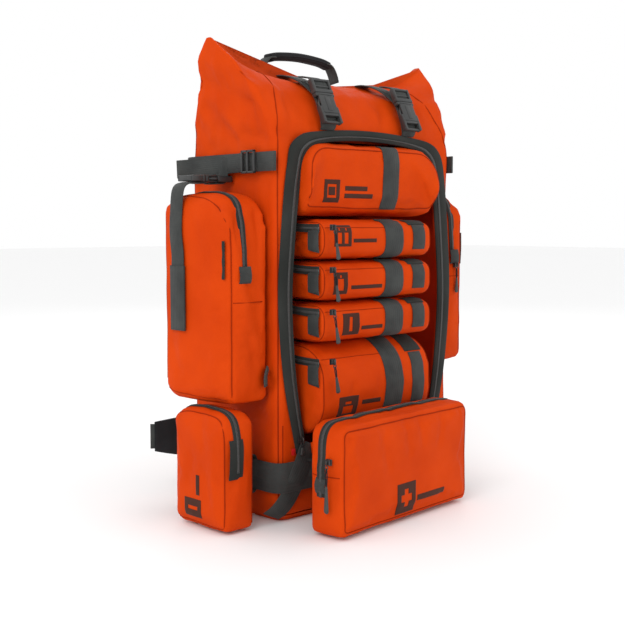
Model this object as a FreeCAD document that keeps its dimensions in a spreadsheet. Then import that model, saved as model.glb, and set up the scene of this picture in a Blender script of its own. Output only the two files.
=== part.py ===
import FreeCAD, Part
import math
import os

# Emergency roll-top backpack with a clamshell front, five stacked inner pouches, two side
# pockets, two belt pouches, webbing, buckles and zips.
# Frame: origin at the centre of the base, +Z up, the opening faces -Y, the wearer's back is +Y.

Vector = FreeCAD.Vector
Placement = FreeCAD.Placement
Rotation = FreeCAD.Rotation

doc = FreeCAD.newDocument("trauma_backpack")
sheet = doc.addObject("Spreadsheet::Sheet", "dims")

# Driving dimensions in millimetres, unless the name says otherwise.
DIMENSIONS = {
    "body_half_width": 170, "body_half_depth": 92, "base_inset": 12, "base_bevel": 25,
    "body_wall": 3, "shoulder_height": 470, "ridge_height": 612, "ear_height": 628,
    "divider_front": 18, "compartment_floor": 6, "compartment_roof": 508,
    "opening_bottom": 92, "opening_top": 507, "opening_half_width": 146,
    "webbing_width": 25, "webbing_thick": 2, "belt_width": 40, "tape_thick": 1.4,
    "pouch_width": 218, "pouch_left": -120, "pouch_front": -126, "pouch_back": 14,
    "pouch_pitch": 55, "slim_height": 52, "slim_bottom": 236, "cook_bottom": 109,
    "cook_height": 124, "extra_bottom": 403, "extra_height": 86,
    "pocket_width": 83.7, "pocket_depth": 112, "pocket_height": 270, "pocket_bottom": 163,
    "belt_pouch_width": 55, "belt_pouch_depth": 108, "belt_pouch_height": 156,
    "aid_width": 282, "aid_depth": 54, "aid_height": 147, "aid_yaw_deg": 5.5,
    "buckle_length": 44, "buckle_thick": 9, "buckle_wall": 2.5, "plug_head": 22,
    "slider_width": 9, "slider_depth": 6, "slider_height": 8, "pull_thick": 3,
    "handle_radius": 8, "flap_roll_radius": 9.5, "flap_roll_length": 236,
    "strap_pad_width": 62, "strap_pad_thick": 12, "fin_height": 68, "fin_thick": 14,
    "pad_width": 88, "pad_height": 300, "pad_thick": 13, "sheet_thick": 2,
    "clearance": 0.4,
}
for row, (alias, size) in enumerate(DIMENSIONS.items(), start=1):
    sheet.set(f"A{row}", alias)
    sheet.set(f"B{row}", str(size))
    sheet.setAlias(f"B{row}", alias)
doc.recompute()


class Sizes:
    """Reads a driving dimension from the sheet by its name."""

    def __getattr__(self, alias):
        return float(sheet.get(alias))


D = Sizes()
GAP = D.clearance
nodes = []


def keep(piece, label):
    """Names a finished sub-part; its label is also its file name."""
    piece.Label = label
    nodes.append(piece)
    return piece


# ---------------------------------------------------------------- outlines

def corner_arc(before, corner, after, radius):
    """The start, middle and end of the arc that rounds one corner."""
    inward = Vector(before - corner).normalize()
    outward = Vector(after - corner).normalize()
    half_angle = inward.getAngle(outward) / 2
    reach = radius / math.tan(half_angle)
    middle = Vector(inward + outward).normalize() * (radius / math.sin(half_angle) - radius)
    return corner + inward * reach, corner + middle, corner + outward * reach


def rounded_outline(corners, radii):
    """A closed outline of lines, with an arc at each corner whose radius isn't zero."""
    points = [Vector(x, y, 0) for x, y in corners]
    count = len(points)
    arcs = []
    for i, radius in enumerate(radii):
        if radius > 0:
            arcs.append(corner_arc(points[i - 1], points[i], points[(i + 1) % count], radius))
        else:
            arcs.append((points[i], None, points[i]))
    edges = []
    for i, (start, middle, end) in enumerate(arcs):
        if middle is not None:
            edges.append(Part.Arc(start, middle, end))
        edges.append(Part.LineSegment(end, arcs[(i + 1) % count][0]))
    return edges


def offset_corners(path, distance):
    """The corners of a path moved sideways by a distance, with mitred corners."""
    points = [Vector(x, y, 0) for x, y in path]
    normals = []
    for start, end in zip(points, points[1:]):
        run = Vector(end - start).normalize()
        normals.append(Vector(-run.y, run.x, 0))
    moved = [points[0] + normals[0] * distance]
    for point, first, second in zip(points[1:-1], normals, normals[1:]):
        mitre = Vector(first + second).normalize()
        moved.append(point + mitre * (distance / mitre.dot(first)))
    moved.append(points[-1] + normals[-1] * distance)
    return [(point.x, point.y) for point in moved]


def band_outline(path, thick, bend):
    """The section of a flat strap that follows a path, with concentric rounded bends."""
    left = offset_corners(path, thick / 2)
    right = offset_corners(path, -thick / 2)
    left_radii = [0]
    right_radii = [0]
    for before, corner, after in zip(path, path[1:], path[2:]):
        turn = ((corner[0] - before[0]) * (after[1] - corner[1])
                - (corner[1] - before[1]) * (after[0] - corner[0]))
        side = thick / 2 if turn > 0 else -thick / 2
        left_radii.append(bend - side)
        right_radii.append(bend + side)
    left_radii.append(0)
    right_radii.append(0)
    return rounded_outline(left + right[::-1], left_radii + right_radii[::-1])


# ---------------------------------------------------------------- bodies and primitives

def pad_body(name, plane, edges, start, length, rounding=0):
    """A body padded from a sketch on one of its origin planes, with its end edges rounded."""
    body = doc.addObject("PartDesign::Body", name)
    sketch = body.newObject("Sketcher::SketchObject", name + "_outline")
    support = [item for item in body.Origin.OriginFeatures if item.Role == plane][0]
    sketch.AttachmentSupport = (support, [""])
    sketch.MapMode = "FlatFace"
    sketch.AttachmentOffset = Placement(Vector(0, 0, start), Rotation())
    sketch.addGeometry(edges, False)
    pad = body.newObject("PartDesign::Pad", name + "_pad")
    pad.Profile = sketch
    pad.setExpression("Length", str(length))
    sketch.Visibility = False
    doc.recompute()
    if rounding:
        normal = {"XY_Plane": Vector(0, 0, 1), "XZ_Plane": Vector(0, 1, 0),
                  "YZ_Plane": Vector(1, 0, 0)}[plane]
        rim = []
        for number, face in enumerate(pad.Shape.Faces, start=1):
            flat = isinstance(face.Surface, Part.Plane)
            if flat and abs(face.normalAt(0, 0).dot(normal)) > 0.99:
                rim.append(f"Face{number}")
        fillet = body.newObject("PartDesign::Fillet", name + "_rounding")
        fillet.Base = (pad, rim)
        fillet.Radius = rounding
        doc.recompute()
    return body


def strap(name, plane, path, start, width="dims.webbing_width", thick=None, bend=12):
    """A flat strap: its path lies in the plane, and its width runs along the plane's normal."""
    edges = band_outline(path, thick or D.webbing_thick, bend)
    return pad_body(name, plane, edges, start, width)


def block(name, corner, length, width, height):
    """A box from its lowest corner, with sizes as expressions or numbers."""
    box = doc.addObject("Part::Box", name)
    box.setExpression("Length", str(length))
    box.setExpression("Width", str(width))
    box.setExpression("Height", str(height))
    box.Placement = Placement(Vector(*corner), Rotation())
    return box


def cut(name, base, tool):
    result = doc.addObject("Part::Cut", name)
    result.Base = base
    result.Tool = tool
    return result


def fuse(name, members):
    result = doc.addObject("Part::MultiFuse", name)
    result.Shapes = members
    return result


def group(name, members):
    """Identical or matching pieces that share one node as separate solids."""
    result = doc.addObject("Part::Compound", name)
    result.Links = members
    return result


def axes(x_axis, y_axis, z_axis):
    """The rotation that takes the three local axes to the given directions."""
    matrix = FreeCAD.Matrix()
    matrix.A11, matrix.A21, matrix.A31 = x_axis
    matrix.A12, matrix.A22, matrix.A32 = y_axis
    matrix.A13, matrix.A23, matrix.A33 = z_axis
    return Placement(matrix).Rotation


# ---------------------------------------------------------------- main bag

def bag_section(height, half_width, front, back, radius, inset=0):
    """A rounded rectangle at one height, as a wire."""
    side = half_width - inset
    corners = [(-side, front + inset), (side, front + inset), (side, back - inset), (-side, back - inset)]
    edges = rounded_outline(corners, [max(radius - inset, 1)] * 4)
    wire = Part.Wire([edge.toShape() for edge in edges])
    wire.translate(Vector(0, 0, height))
    return wire


def bag_loft(inset=0):
    """The bag's outer form, or with an inset the space inside its wall."""
    side = D.body_half_width
    deep = D.body_half_depth
    base = D.base_inset
    sections = [
        (inset, side - base, base - deep, deep - base, 12),
        (D.base_bevel, side, -deep, deep, 12),
        (D.shoulder_height, side, -deep, deep, 12),
        (D.shoulder_height + 60, side + 9, 8 - deep, deep - 10, 12),
        (D.shoulder_height + 105, side + 20, 31 - deep, deep - 29, 12),
        (D.ridge_height - 12 - inset, side + 29, 58 - deep, deep - 50, 10),
    ]
    if inset == 0:
        sections.append((D.ridge_height, side + 35, 86 - deep, deep - 74, 6))
    wires = [bag_section(*section, inset=inset) for section in sections]
    return Part.makeLoft(wires, True, True)


def arch_edges(half_width, bottom, top, foot, shoulder):
    """The clamshell opening: a flat sill, bowed sides and a domed top."""
    left_foot = Vector(-foot, bottom, 0)
    left_side = Vector(-half_width, (bottom + top) / 2 - 14, 0)
    left_shoulder = Vector(-half_width + 15, top - 55, 0)
    left_corner = Vector(-half_width + 29, top - 19, 0)
    left_top = Vector(-shoulder, top - 5, 0)

    def mirrored(point):
        return Vector(-point.x, point.y, 0)

    return [
        Part.Arc(left_foot, left_side, left_shoulder),
        Part.Arc(left_shoulder, left_corner, left_top),
        Part.Arc(left_top, Vector(0, top, 0), mirrored(left_top)),
        Part.Arc(mirrored(left_top), mirrored(left_corner), mirrored(left_shoulder)),
        Part.Arc(mirrored(left_shoulder), mirrored(left_side), mirrored(left_foot)),
        Part.LineSegment(mirrored(left_foot), left_foot),
    ]


def make_main_bag():
    """A walled shell: a front compartment behind the arch, and a closed rear compartment."""
    reach = 2 * D.body_half_width + 100
    front_wall = -D.body_half_depth
    inner = bag_loft(D.body_wall)
    bay_height = D.compartment_roof - D.compartment_floor
    front_bay = Part.makeBox(reach, D.divider_front - front_wall, bay_height,
                             Vector(-reach / 2, front_wall, D.compartment_floor))
    rear_start = D.divider_front + D.body_wall
    rear_bay = Part.makeBox(reach, 200, D.ear_height, Vector(-reach / 2, rear_start, 0))
    upper_start = D.compartment_roof + D.body_wall
    upper_bay = Part.makeBox(reach, 300, D.ear_height, Vector(-reach / 2, -150, upper_start))
    shape = bag_loft().cut(inner.common(front_bay))
    shape = shape.cut(inner.common(rear_bay.fuse(upper_bay)))

    arch = arch_edges(D.opening_half_width, D.opening_bottom, D.opening_top, 121, 80)
    doorway = Part.Face(Part.Wire([edge.toShape() for edge in arch]))
    doorway.rotate(Vector(), Vector(1, 0, 0), 90)
    doorway.translate(Vector(0, front_wall + D.body_wall + 8, 0))
    shape = shape.cut(doorway.extrude(Vector(0, -26, 0)))

    # The ridge rises into a pointed ear at each end.
    for side in (-1, 1):
        outer = D.body_half_width + 37
        profile = [(148, 600), (outer - 12, 596), (outer, D.ear_height), (outer - 16, D.ear_height - 3),
                   (150, D.ridge_height)]
        points = [Vector(side * x, -1, z) for x, z in profile]
        ear = Part.Face(Part.makePolygon(points + points[:1])).extrude(Vector(0, 14, 0))
        shape = shape.fuse(ear)
    bag = doc.addObject("Part::Feature", "main_bag")
    bag.Shape = shape.removeSplitter()
    return keep(bag, "main_bag")


def make_front_zip():
    """The wide dark zip tape round the opening, with the roll of the opened front panel."""
    band = 23
    outer = arch_edges(D.opening_half_width + band, D.opening_bottom - 2, D.opening_top + 12, 145, 90)
    inner = arch_edges(D.opening_half_width, D.opening_bottom - 4, D.opening_top, 121, 80)
    front = D.body_half_depth + GAP
    tape = pad_body("zip_tape_full", "XZ_Plane", outer, front, "dims.webbing_thick")
    hole = pad_body("zip_tape_hole", "XZ_Plane", inner, front - 5, 20)
    keep(cut("zip_tape_cut", tape, hole), "front_zip_tape")

    roll = doc.addObject("Part::Cylinder", "rolled_panel")
    roll.setExpression("Radius", "dims.flap_roll_radius")
    roll.setExpression("Height", "dims.flap_roll_length")
    centre_y = -D.body_half_depth - D.flap_roll_radius - 3
    roll.Placement = Placement(Vector(-D.flap_roll_length / 2, centre_y, 98), Rotation(Vector(0, 1, 0), 90))
    keep(roll, "rolled_front_panel")


# ---------------------------------------------------------------- buckles

def buckle_pair(name, strap_width, place):
    """A side-release buckle. Locally the plug is on +Z of the socket, and -Y faces outwards."""
    outer = strap_width + 8
    thick = D.buckle_thick
    wall = D.buckle_wall
    case = block(name + "_case", (-outer / 2, -thick, -D.buckle_length), outer,
                 "dims.buckle_thick", "dims.buckle_length")
    cavity = block(name + "_cavity", (-outer / 2 + wall, -thick + wall - 0.5, -34),
                   outer - 2 * wall, "dims.buckle_thick - 2 * dims.buckle_wall + 1", 35)
    slot = block(name + "_slot", (-strap_width / 2 - 0.5, -thick - 1, -41.5), strap_width + 1, thick + 2, 5)
    socket = cut(name + "_socket", case, fuse(name + "_hollow", [cavity, slot]))

    head = block(name + "_head", (-outer / 2, -thick, GAP), outer, "dims.buckle_thick", "dims.plug_head")
    prong_thick = thick - 2 * wall - 0.4
    prongs = []
    for side in (-1, 1):
        prong_x = side * (outer / 2 - wall - 3.2) - 2.5
        prongs.append(block(f"{name}_prong_{side + 1}", (prong_x, -thick + wall + 0.2, -27), 5, prong_thick, 28))
    prongs.append(block(name + "_tongue", (-4, -thick + wall + 0.2, -22), 8, prong_thick, 23))
    window = block(name + "_window", (-strap_width / 2, -thick - 1, 12), strap_width, thick + 2, 4)
    plug = cut(name + "_plug", fuse(name + "_plug_solid", [head] + prongs), window)
    for half in (socket, plug):
        half.Placement = place
    return socket, plug


def make_roll_top_straps():
    """Two straps over the ridge, each with a side-release buckle on its front run."""
    path = [(97, 470), (88, 536), (70, 582), (45, 608), (6, 619), (-36, 607), (-66, 581), (-90, 531),
            (-92.2, 520)]
    straps = []
    sockets = []
    spacing = 79
    tilt = math.degrees(math.atan2(24, 50))
    for name, side in (("left", -1), ("right", 1)):
        start = side * spacing - D.webbing_width / 2
        straps.append(strap("roll_strap_" + name, "YZ_Plane", path, start, bend=14))
        middle = Vector(side * spacing, -76.6, 562.3)
        place = Placement(middle, Rotation(Vector(1, 0, 0), -tilt))
        socket, plug = buckle_pair("roll_buckle_" + name, D.webbing_width, place)
        sockets.append(socket)
        keep(plug, "roll_buckle_plug_" + name)
    keep(group("roll_straps_pair", straps), "roll_top_straps")
    keep(group("roll_sockets_pair", sockets), "roll_buckle_sockets")


def make_carry_handle():
    """A padded webbing grab handle that arches over the back of the ridge."""
    half_span = 72
    rear = 56
    foot = 610
    crest = 634
    spine = doc.addObject("Sketcher::SketchObject", "handle_spine")
    corners = [(-half_span, foot), (-half_span + 8, crest), (half_span - 8, crest), (half_span, foot)]
    points = [Vector(x, z, 0) for x, z in corners]
    left = corner_arc(points[0], points[1], points[2], 16)
    right = corner_arc(points[1], points[2], points[3], 16)
    spine.addGeometry([
        Part.LineSegment(points[0], left[0]), Part.Arc(*left), Part.LineSegment(left[2], right[0]),
        Part.Arc(*right), Part.LineSegment(right[2], points[3])], False)
    spine.Placement = Placement(Vector(0, rear, 0), Rotation(Vector(1, 0, 0), 90))
    ring = doc.addObject("Part::Circle", "handle_section")
    ring.setExpression("Radius", "dims.handle_radius")
    lean = math.degrees(math.atan2(8, crest - foot))
    ring.Placement = Placement(Vector(-half_span, rear, foot), Rotation(Vector(0, 1, 0), lean))
    doc.recompute()
    sweep = doc.addObject("Part::Sweep", "handle_sweep")
    sweep.Sections = [ring]
    sweep.Spine = (spine, [f"Edge{n}" for n in range(1, 6)])
    sweep.Solid = True
    sweep.Frenet = False
    keep(sweep, "carry_handle")


# ---------------------------------------------------------------- zips

def pull_outline(long):
    """A thin cord that ends in a tapered grip."""
    cord = 1.6
    neck = 0.42 * long
    return rounded_outline([(-cord, 0), (-cord, -neck), (-4, -long), (4, -long), (cord, -neck), (cord, 0)],
                           [0, 0, 2, 2, 0, 0])


def zip_slider(name, front, place=None):
    """A slider block with a bridge; locally its back touches the tape at y = front."""
    wide = D.slider_width
    high = D.slider_height
    base = block(name + "_base", (-wide / 2, front - D.slider_depth, 0), "dims.slider_width",
                 "dims.slider_depth", "dims.slider_height")
    bite = block(name + "_bite", (-wide / 2 - 1, front - 2.8, high / 2 - 1.2), wide + 2, 1, 2.4)
    slider = cut(name, base, bite)
    if place:
        slider.Placement = place
    return slider


def zip_pull(name, front, long, thick="dims.pull_thick"):
    """A pull that hangs from the front edge of a slider, 1.5 mm below the slider."""
    return pad_body(name, "XZ_Plane", pull_outline(long), -front, thick)


def slider_with_pull(name, spot, long, turn=0):
    """A slider and its hanging pull as one piece. Locally it faces -Y."""
    slider = zip_slider(name + "_slider", 0)
    pull = zip_pull(name + "_pull", -2, long)
    both = fuse(name + "_both", [slider, pull])
    both.Placement = Placement(Vector(*spot), Rotation(Vector(0, 0, 1), turn))
    return keep(both, name)


# ---------------------------------------------------------------- pouches in the front bay

SLIM = ("hygiene_pouch", "electronics_pouch", "tools_pouch")
TRACK_START = -106


def make_inner_pouch(name, bottom, high, nose, zipped):
    """A pouch with a rounded nose, its upright band and end tabs, and its zip."""
    left = D.pouch_left
    front = D.pouch_front
    back = D.pouch_back
    top = bottom + high
    profile = [(back, bottom), (front, bottom), (front, top), (back, top)]
    pouch = pad_body(name, "YZ_Plane", rounded_outline(profile, [3, nose, nose, 3]), left, "dims.pouch_width", 5)
    keep(pouch, name)
    make_pouch_trim(name, bottom, top, nose, zipped)


def make_pouch_trim(name, bottom, top, nose, zipped):
    """The vertical band, a tab to its right, and a tab on the left end where the zip stops."""
    front = D.pouch_front - GAP
    middle = (bottom + top) / 2
    thick = D.tape_thick
    skin = thick / 2
    start = front + nose + 4
    wrap = [(start, top + skin), (front - skin, top + skin), (front - skin, bottom - skin),
            (start, bottom - skin)]
    pieces = [strap(name + "_band", "YZ_Plane", wrap, 0, width=36, thick=thick, bend=nose + skin)]
    tab_high = 22
    pieces.append(block(name + "_tab", (54, front - thick, middle - tab_high / 2 + 4), 26,
                        "dims.tape_thick", tab_high))
    if zipped:
        pieces.append(block(name + "_stop", (D.pouch_left - GAP - 0.8, front + nose + 2, top - 30), 0.8, 14, 24))
    keep(group(name + "_trim_set", pieces), name + "_trim")


def make_pouch_zip(name, top):
    """The slider on the front top edge, and its cord pull."""
    front = D.pouch_front - GAP
    slider = zip_slider(name + "_zip_slider", 0, Placement(Vector(TRACK_START, front, top - 14), Rotation()))
    keep(slider, name + "_slider")
    # The pull leans to the right, and ends above the pouch below so that one can slide out.
    pull = zip_pull(name + "_zip_pull", 0, 36)
    pull.Placement = Placement(Vector(TRACK_START, front - 4.5, top - 16.5), Rotation(Vector(0, 1, 0), -10))
    keep(pull, name + "_pull")


def make_pouch_stack():
    for step, name in enumerate(reversed(SLIM)):
        bottom = D.slim_bottom + step * D.pouch_pitch
        make_inner_pouch(name, bottom, D.slim_height, 18, True)
        make_pouch_zip(name, bottom + D.slim_height)
    make_inner_pouch("cook_pouch", D.cook_bottom, D.cook_height, 50, True)
    make_pouch_zip("cook_pouch", D.cook_bottom + D.cook_height - 10)

    # The top pouch fills the dome of the arch, so its upper corners are rounded.
    left = D.pouch_left
    right = left + D.pouch_width + 6
    bottom = D.extra_bottom
    top = bottom + D.extra_height
    outline = rounded_outline([(left, bottom), (right, bottom), (right, top), (left, top)], [6, 6, 56, 56])
    extra = pad_body("extra_storage_pouch", "XZ_Plane", outline, -D.pouch_back,
                     "dims.pouch_back - dims.pouch_front - 8", 9)
    keep(extra, "extra_storage_pouch")
    front = D.pouch_front + 8 - GAP
    skin = D.tape_thick / 2
    wrap = [(front + 30, top + skin), (front - skin, top + skin), (front - skin, bottom + 4)]
    band = strap("extra_band", "YZ_Plane", wrap, 12, width=32, thick=D.tape_thick, bend=10)
    keep(band, "extra_storage_pouch_trim")


# ---------------------------------------------------------------- side pockets

def pocket_straps(name, side, front, back, bottom, top):
    """The strap that hangs down the outer face, the zip tape over the top, and the zip's tab."""
    outer = D.body_half_width + GAP + 1 + D.pocket_width
    lift = top + 13
    drop = [(side * 214, lift), (side * 238, lift), (side * (outer + 1.6), top - 3),
            (side * (outer + 1.6), bottom + 92)]
    width = D.webbing_width + 5
    hang = strap(name + "_hang", "XZ_Plane", drop, -12 - width / 2, width=width, bend=10)
    skin = D.tape_thick / 2 + GAP
    zip_low = bottom + 138
    arch = [(front - skin, zip_low), (front - skin, top + skin), (back + skin, top + skin),
            (back + skin, zip_low)]
    centre = side * 216
    tape = strap(name + "_tape", "YZ_Plane", arch, centre - 6, width=12, thick=D.tape_thick, bend=7)
    tab = block(name + "_zip_tab", (centre - 9, front - 2 * skin - 1, zip_low - 22), 18, 1.6, 20)
    return group(name + "_webbing_set", [hang, tape, tab])


def make_side_pocket(name, side, front, bottom, high):
    """A tall pocket on one side of the bag, with a domed top."""
    inner = D.body_half_width + GAP + 1
    outer = inner + D.pocket_width
    back = front + D.pocket_depth
    top = bottom + high
    corners = [(side * inner, bottom), (side * outer, bottom), (side * outer, top), (side * inner, top)]
    edges = rounded_outline(corners, [6, 12, 34, 18])
    pocket = pad_body(name, "XZ_Plane", edges, -back, "dims.pocket_depth", 7)
    keep(pocket, name)
    keep(pocket_straps(name, side, front, back, bottom, top), name + "_webbing")


def make_side_pockets():
    make_side_pocket("left_pocket", -1, -79, D.pocket_bottom, D.pocket_height)
    make_side_pocket("right_pocket", 1, -64, D.pocket_bottom + 20, D.pocket_height - 12)
    tape = D.tape_thick + 2 * GAP
    slider_with_pull("left_pocket_slider", (-216, -79 + D.pocket_depth + tape, 352), 40, 180)
    slider_with_pull("right_pocket_slider", (216, -64 - tape, 326), 40)

    sockets = []
    for name, side, top in (("left", -1, 433), ("right", 1, 441)):
        turn = axes((0, -side, 0), (0, 0, -1), (side, 0, 0))
        place = Placement(Vector(side * 216, 12, top + 14 + GAP), turn)
        socket, plug = buckle_pair("pocket_buckle_" + name, D.webbing_width, place)
        sockets.append(socket)
        keep(plug, "pocket_buckle_plug_" + name)
    keep(group("pocket_sockets_pair", sockets), "pocket_buckle_sockets")


def make_compression_straps():
    """A level strap on each side, with a short strap that carries the pocket's buckle."""
    pieces = []
    side_x = D.body_half_width + 4.8
    for name, side, top in (("left", -1, 433), ("right", 1, 441)):
        low = top + 27
        level = [(side * side_x, 66), (side * side_x, -95)]
        pieces.append(strap("compression_" + name, "XY_Plane", level, low))
        drop = [(side * (side_x + 2.4), low + 20), (side * (side_x + 2.4), top + 13), (side * 198, top + 13)]
        pieces.append(strap("pocket_hanger_" + name, "XZ_Plane", drop, -24.5, bend=3))
        face = side * (side_x + 3.4)
        plate = block("triglide_plate_" + name, (min(face, face + side * 3.4), -60, low - 2), 3.4, 27, 30)
        slots = []
        for step in (4, 15.5):
            slots.append(block(f"triglide_slot_{name}_{step:.0f}", (min(face, face + side * 3.4) - 1, -60 + step,
                               low + 1.5), 6, 7.5, 23))
        keep(cut("triglide_cut_" + name, plate, fuse("triglide_slots_" + name, slots)), "triglide_" + name)
    keep(group("compression_set", pieces), "compression_straps")


# ---------------------------------------------------------------- belt and belt pouches

def make_belt():
    """The wide waist belt round the base, and its buckle on the right side."""
    side = D.body_half_width + 4.5
    front = -D.body_half_depth - 5.5
    low = 42
    path = [(-side, 84), (-side, front), (side, front), (side, 84)]
    keep(strap("belt_band", "XY_Plane", path, low, width="dims.belt_width", bend=13), "waist_belt")
    turn = axes((0, 0, -1), (-1, 0, 0), (0, 1, 0))
    place = Placement(Vector(side + 1 + GAP, -5, low + D.belt_width / 2), turn)
    socket, plug = buckle_pair("belt_buckle", D.belt_width, place)
    keep(socket, "belt_buckle_socket")
    keep(plug, "belt_buckle_plug")

    # A strap that runs from the foot of the zip down to each bottom corner of the bag.
    face = D.body_half_depth + GAP
    pieces = []
    for name, side in (("left", -1), ("right", 1)):
        corners = [(side * 112, 82), (side * 140, 82), (side * 164, 28), (side * 136, 28)]
        edges = rounded_outline(corners, [0, 0, 0, 0])
        pieces.append(pad_body("base_strap_" + name, "XZ_Plane", edges, face, "dims.webbing_thick"))
    keep(group("base_straps_pair", pieces), "base_straps")


def make_carry_pouch():
    """The tall narrow belt pouch at the lower left, with two loops round the belt."""
    inner = -204
    outer = inner - D.belt_pouch_width
    front = -90
    back = front + D.belt_pouch_depth
    bottom = 1
    top = bottom + D.belt_pouch_height
    edges = rounded_outline([(outer, bottom), (inner, bottom), (inner, top), (outer, top)], [7, 7, 14, 14])
    keep(pad_body("belt_pouch", "XZ_Plane", edges, -back, "dims.belt_pouch_depth", 7), "belt_pouch")
    skin = D.tape_thick / 2 + GAP
    arch = [(front - skin, 64), (front - skin, top + skin), (back + skin, top + skin), (back + skin, 64)]
    pieces = [strap("belt_pouch_tape", "YZ_Plane", arch, -243, width=12, thick=D.tape_thick, bend=7)]
    hook = -172.1
    loop = [(inner + GAP, 86), (hook, 86), (hook, 38), (inner + GAP, 38)]
    for step in (-52, -14):
        pieces.append(strap(f"belt_pouch_loop_{-step}", "XZ_Plane", loop, -step - D.webbing_width, thick=1.2, bend=4))
    keep(group("belt_pouch_trim_set", pieces), "belt_pouch_trim")
    slider_with_pull("belt_pouch_slider", (-237, back + D.tape_thick + 2 * GAP, 100), 36, 180)


def make_aid_pouch():
    """The wide first aid pouch in front, turned a little, with two loops round the belt."""
    half = D.aid_width / 2
    bottom = 1
    top = bottom + D.aid_height
    deep = D.aid_depth
    yaw = Rotation(Vector(0, 0, 1), D.aid_yaw_deg)
    front_centre = Vector(-27.5, -193.5, 0)
    centre = front_centre + yaw.multVec(Vector(0, deep / 2, 0))
    place = Placement(centre, yaw)
    edges = rounded_outline([(-half, bottom), (half, bottom), (half, top), (-half, top)], [9, 9, 24, 24])
    pouch = pad_body("first_aid_pouch", "XZ_Plane", edges, -deep / 2, "dims.aid_depth", 7)
    pouch.Placement = place
    keep(pouch, "first_aid_pouch")

    skin = D.tape_thick / 2 + GAP
    arch = [(-half - skin, 88), (-half - skin, top + skin), (half + skin, top + skin), (half + skin, 104)]
    tape = strap("aid_tape", "XZ_Plane", arch, 4, width=12, thick=D.tape_thick, bend=24 + skin)
    tape.Placement = place
    pieces = [tape]
    hook = -94.8
    for step, reach in ((-70, -142.0), (50, -130.6)):
        loop = [(reach, 86), (hook, 86), (hook, 38), (reach, 38)]
        pieces.append(strap(f"aid_loop_{abs(step)}", "YZ_Plane", loop, step - D.webbing_width / 2, thick=1.2, bend=4))
    keep(group("aid_trim_set", pieces), "first_aid_pouch_trim")

    # The slider rides on the left end, and its pull swings away from that end.
    end_face = -half - D.tape_thick - 2 * GAP
    turned = yaw.multiply(Rotation(Vector(0, 0, 1), -90))
    spot = centre + yaw.multVec(Vector(end_face, -10, 96))
    slider = zip_slider("aid_slider", 0, Placement(spot, turned))
    keep(slider, "first_aid_pouch_slider")
    pull = zip_pull("aid_pull", 0, 58)
    hang = centre + yaw.multVec(Vector(end_face - 4.5, -10, 93.5))
    pull.Placement = Placement(hang, turned)
    keep(pull, "first_aid_pouch_pull")


# ---------------------------------------------------------------- back of the pack

def make_back():
    """Back pads, the stiffener inside, hip fins and the shoulder harness."""
    face = D.body_half_depth + GAP
    pads = []
    fins = []
    for name, side in (("left", -1), ("right", 1)):
        middle = side * 66
        half = D.pad_width / 2
        low = 128
        corners = [(middle - half, low), (middle + half, low), (middle + half, low + D.pad_height),
                   (middle - half, low + D.pad_height)]
        pads.append(pad_body("back_pad_" + name, "XZ_Plane", rounded_outline(corners, [18] * 4),
                             -face - D.pad_thick, "dims.pad_thick", 4))
        path = [(side * 90, 106), (side * 146, 112), (side * 203, 146)]
        fins.append(strap("fin_" + name, "XY_Plane", path, 53, width="dims.fin_height",
                          thick=D.fin_thick, bend=60))
    keep(group("back_pads_pair", pads), "back_pads")
    keep(group("hip_fins_pair", fins), "hip_fins")
    keep(block("frame_sheet_plate", (-140, 84, 40), 280, "dims.sheet_thick", 420), "frame_sheet")

    curve = [(101, 460), (128, 452), (150, 400), (153, 300), (140, 200), (119, 150)]
    centre_x = 69
    adjusters = []
    tails = []
    for name, side in (("left", -1), ("right", 1)):
        start = side * centre_x - D.strap_pad_width / 2
        keep(strap("shoulder_" + name, "YZ_Plane", curve, start, width="dims.strap_pad_width",
                   thick=D.strap_pad_thick, bend=14), "shoulder_strap_" + name)
        plate = block("adjuster_plate_" + name, (side * centre_x - 17, 110, 124), 34, 5, 22)
        hole = block("adjuster_hole_" + name, (side * centre_x - 13, 108, 128), 26, 9, 5)
        adjusters.append(cut("adjuster_" + name, plate, hole))
        tail = [(95, 32), (99, 60), (113, 121)]
        tails.append(strap("tail_" + name, "YZ_Plane", tail, side * centre_x - D.webbing_width / 2, bend=30))
    keep(group("adjusters_pair", adjusters), "strap_adjusters")
    keep(group("tails_pair", tails), "lower_strap_webbing")

    sternum_z = 355
    outer_y = 153 + D.strap_pad_thick / 2
    keep(block("sternum_band", (-92, outer_y, sternum_z), 184, "dims.webbing_thick", 20), "sternum_strap")
    turn = axes((0, 0, 1), (0, -1, 0), (1, 0, 0))
    place = Placement(Vector(8, outer_y + D.webbing_thick + GAP, sternum_z + 10), turn)
    socket, plug = buckle_pair("sternum_buckle", 20, place)
    keep(socket, "sternum_buckle_socket")
    keep(plug, "sternum_buckle_plug")


make_main_bag()
make_front_zip()
make_roll_top_straps()
make_carry_handle()
make_pouch_stack()
make_side_pockets()
make_compression_straps()
make_belt()
make_carry_pouch()
make_aid_pouch()
make_back()
slider_with_pull("front_zip_slider", (-134.5, -D.body_half_depth - D.webbing_thick - 2 * GAP, 102), 17)
doc.recompute()

for item in doc.Objects:
    if "Invalid" in item.State or "Error" in item.State:
        raise RuntimeError(f"{item.Name} failed: {item.State}")
for piece in nodes:
    if piece.Shape.isNull() or not piece.Shape.isValid():
        raise RuntimeError(f"{piece.Label} has no valid shape")

os.makedirs("parts", exist_ok=True)
for piece in nodes:
    piece.Shape.exportStep(f"parts/{piece.Label}.step")
    box = piece.Shape.BoundBox
    print(f"{piece.Label:28s} solids {len(piece.Shape.Solids):2d} volume {piece.Shape.Volume / 1000:9.2f} cm3"
          f"  x {box.XMin:7.1f} {box.XMax:7.1f}  y {box.YMin:7.1f} {box.YMax:7.1f}"
          f"  z {box.ZMin:7.1f} {box.ZMax:7.1f}")
print(len(nodes), "nodes")
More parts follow.
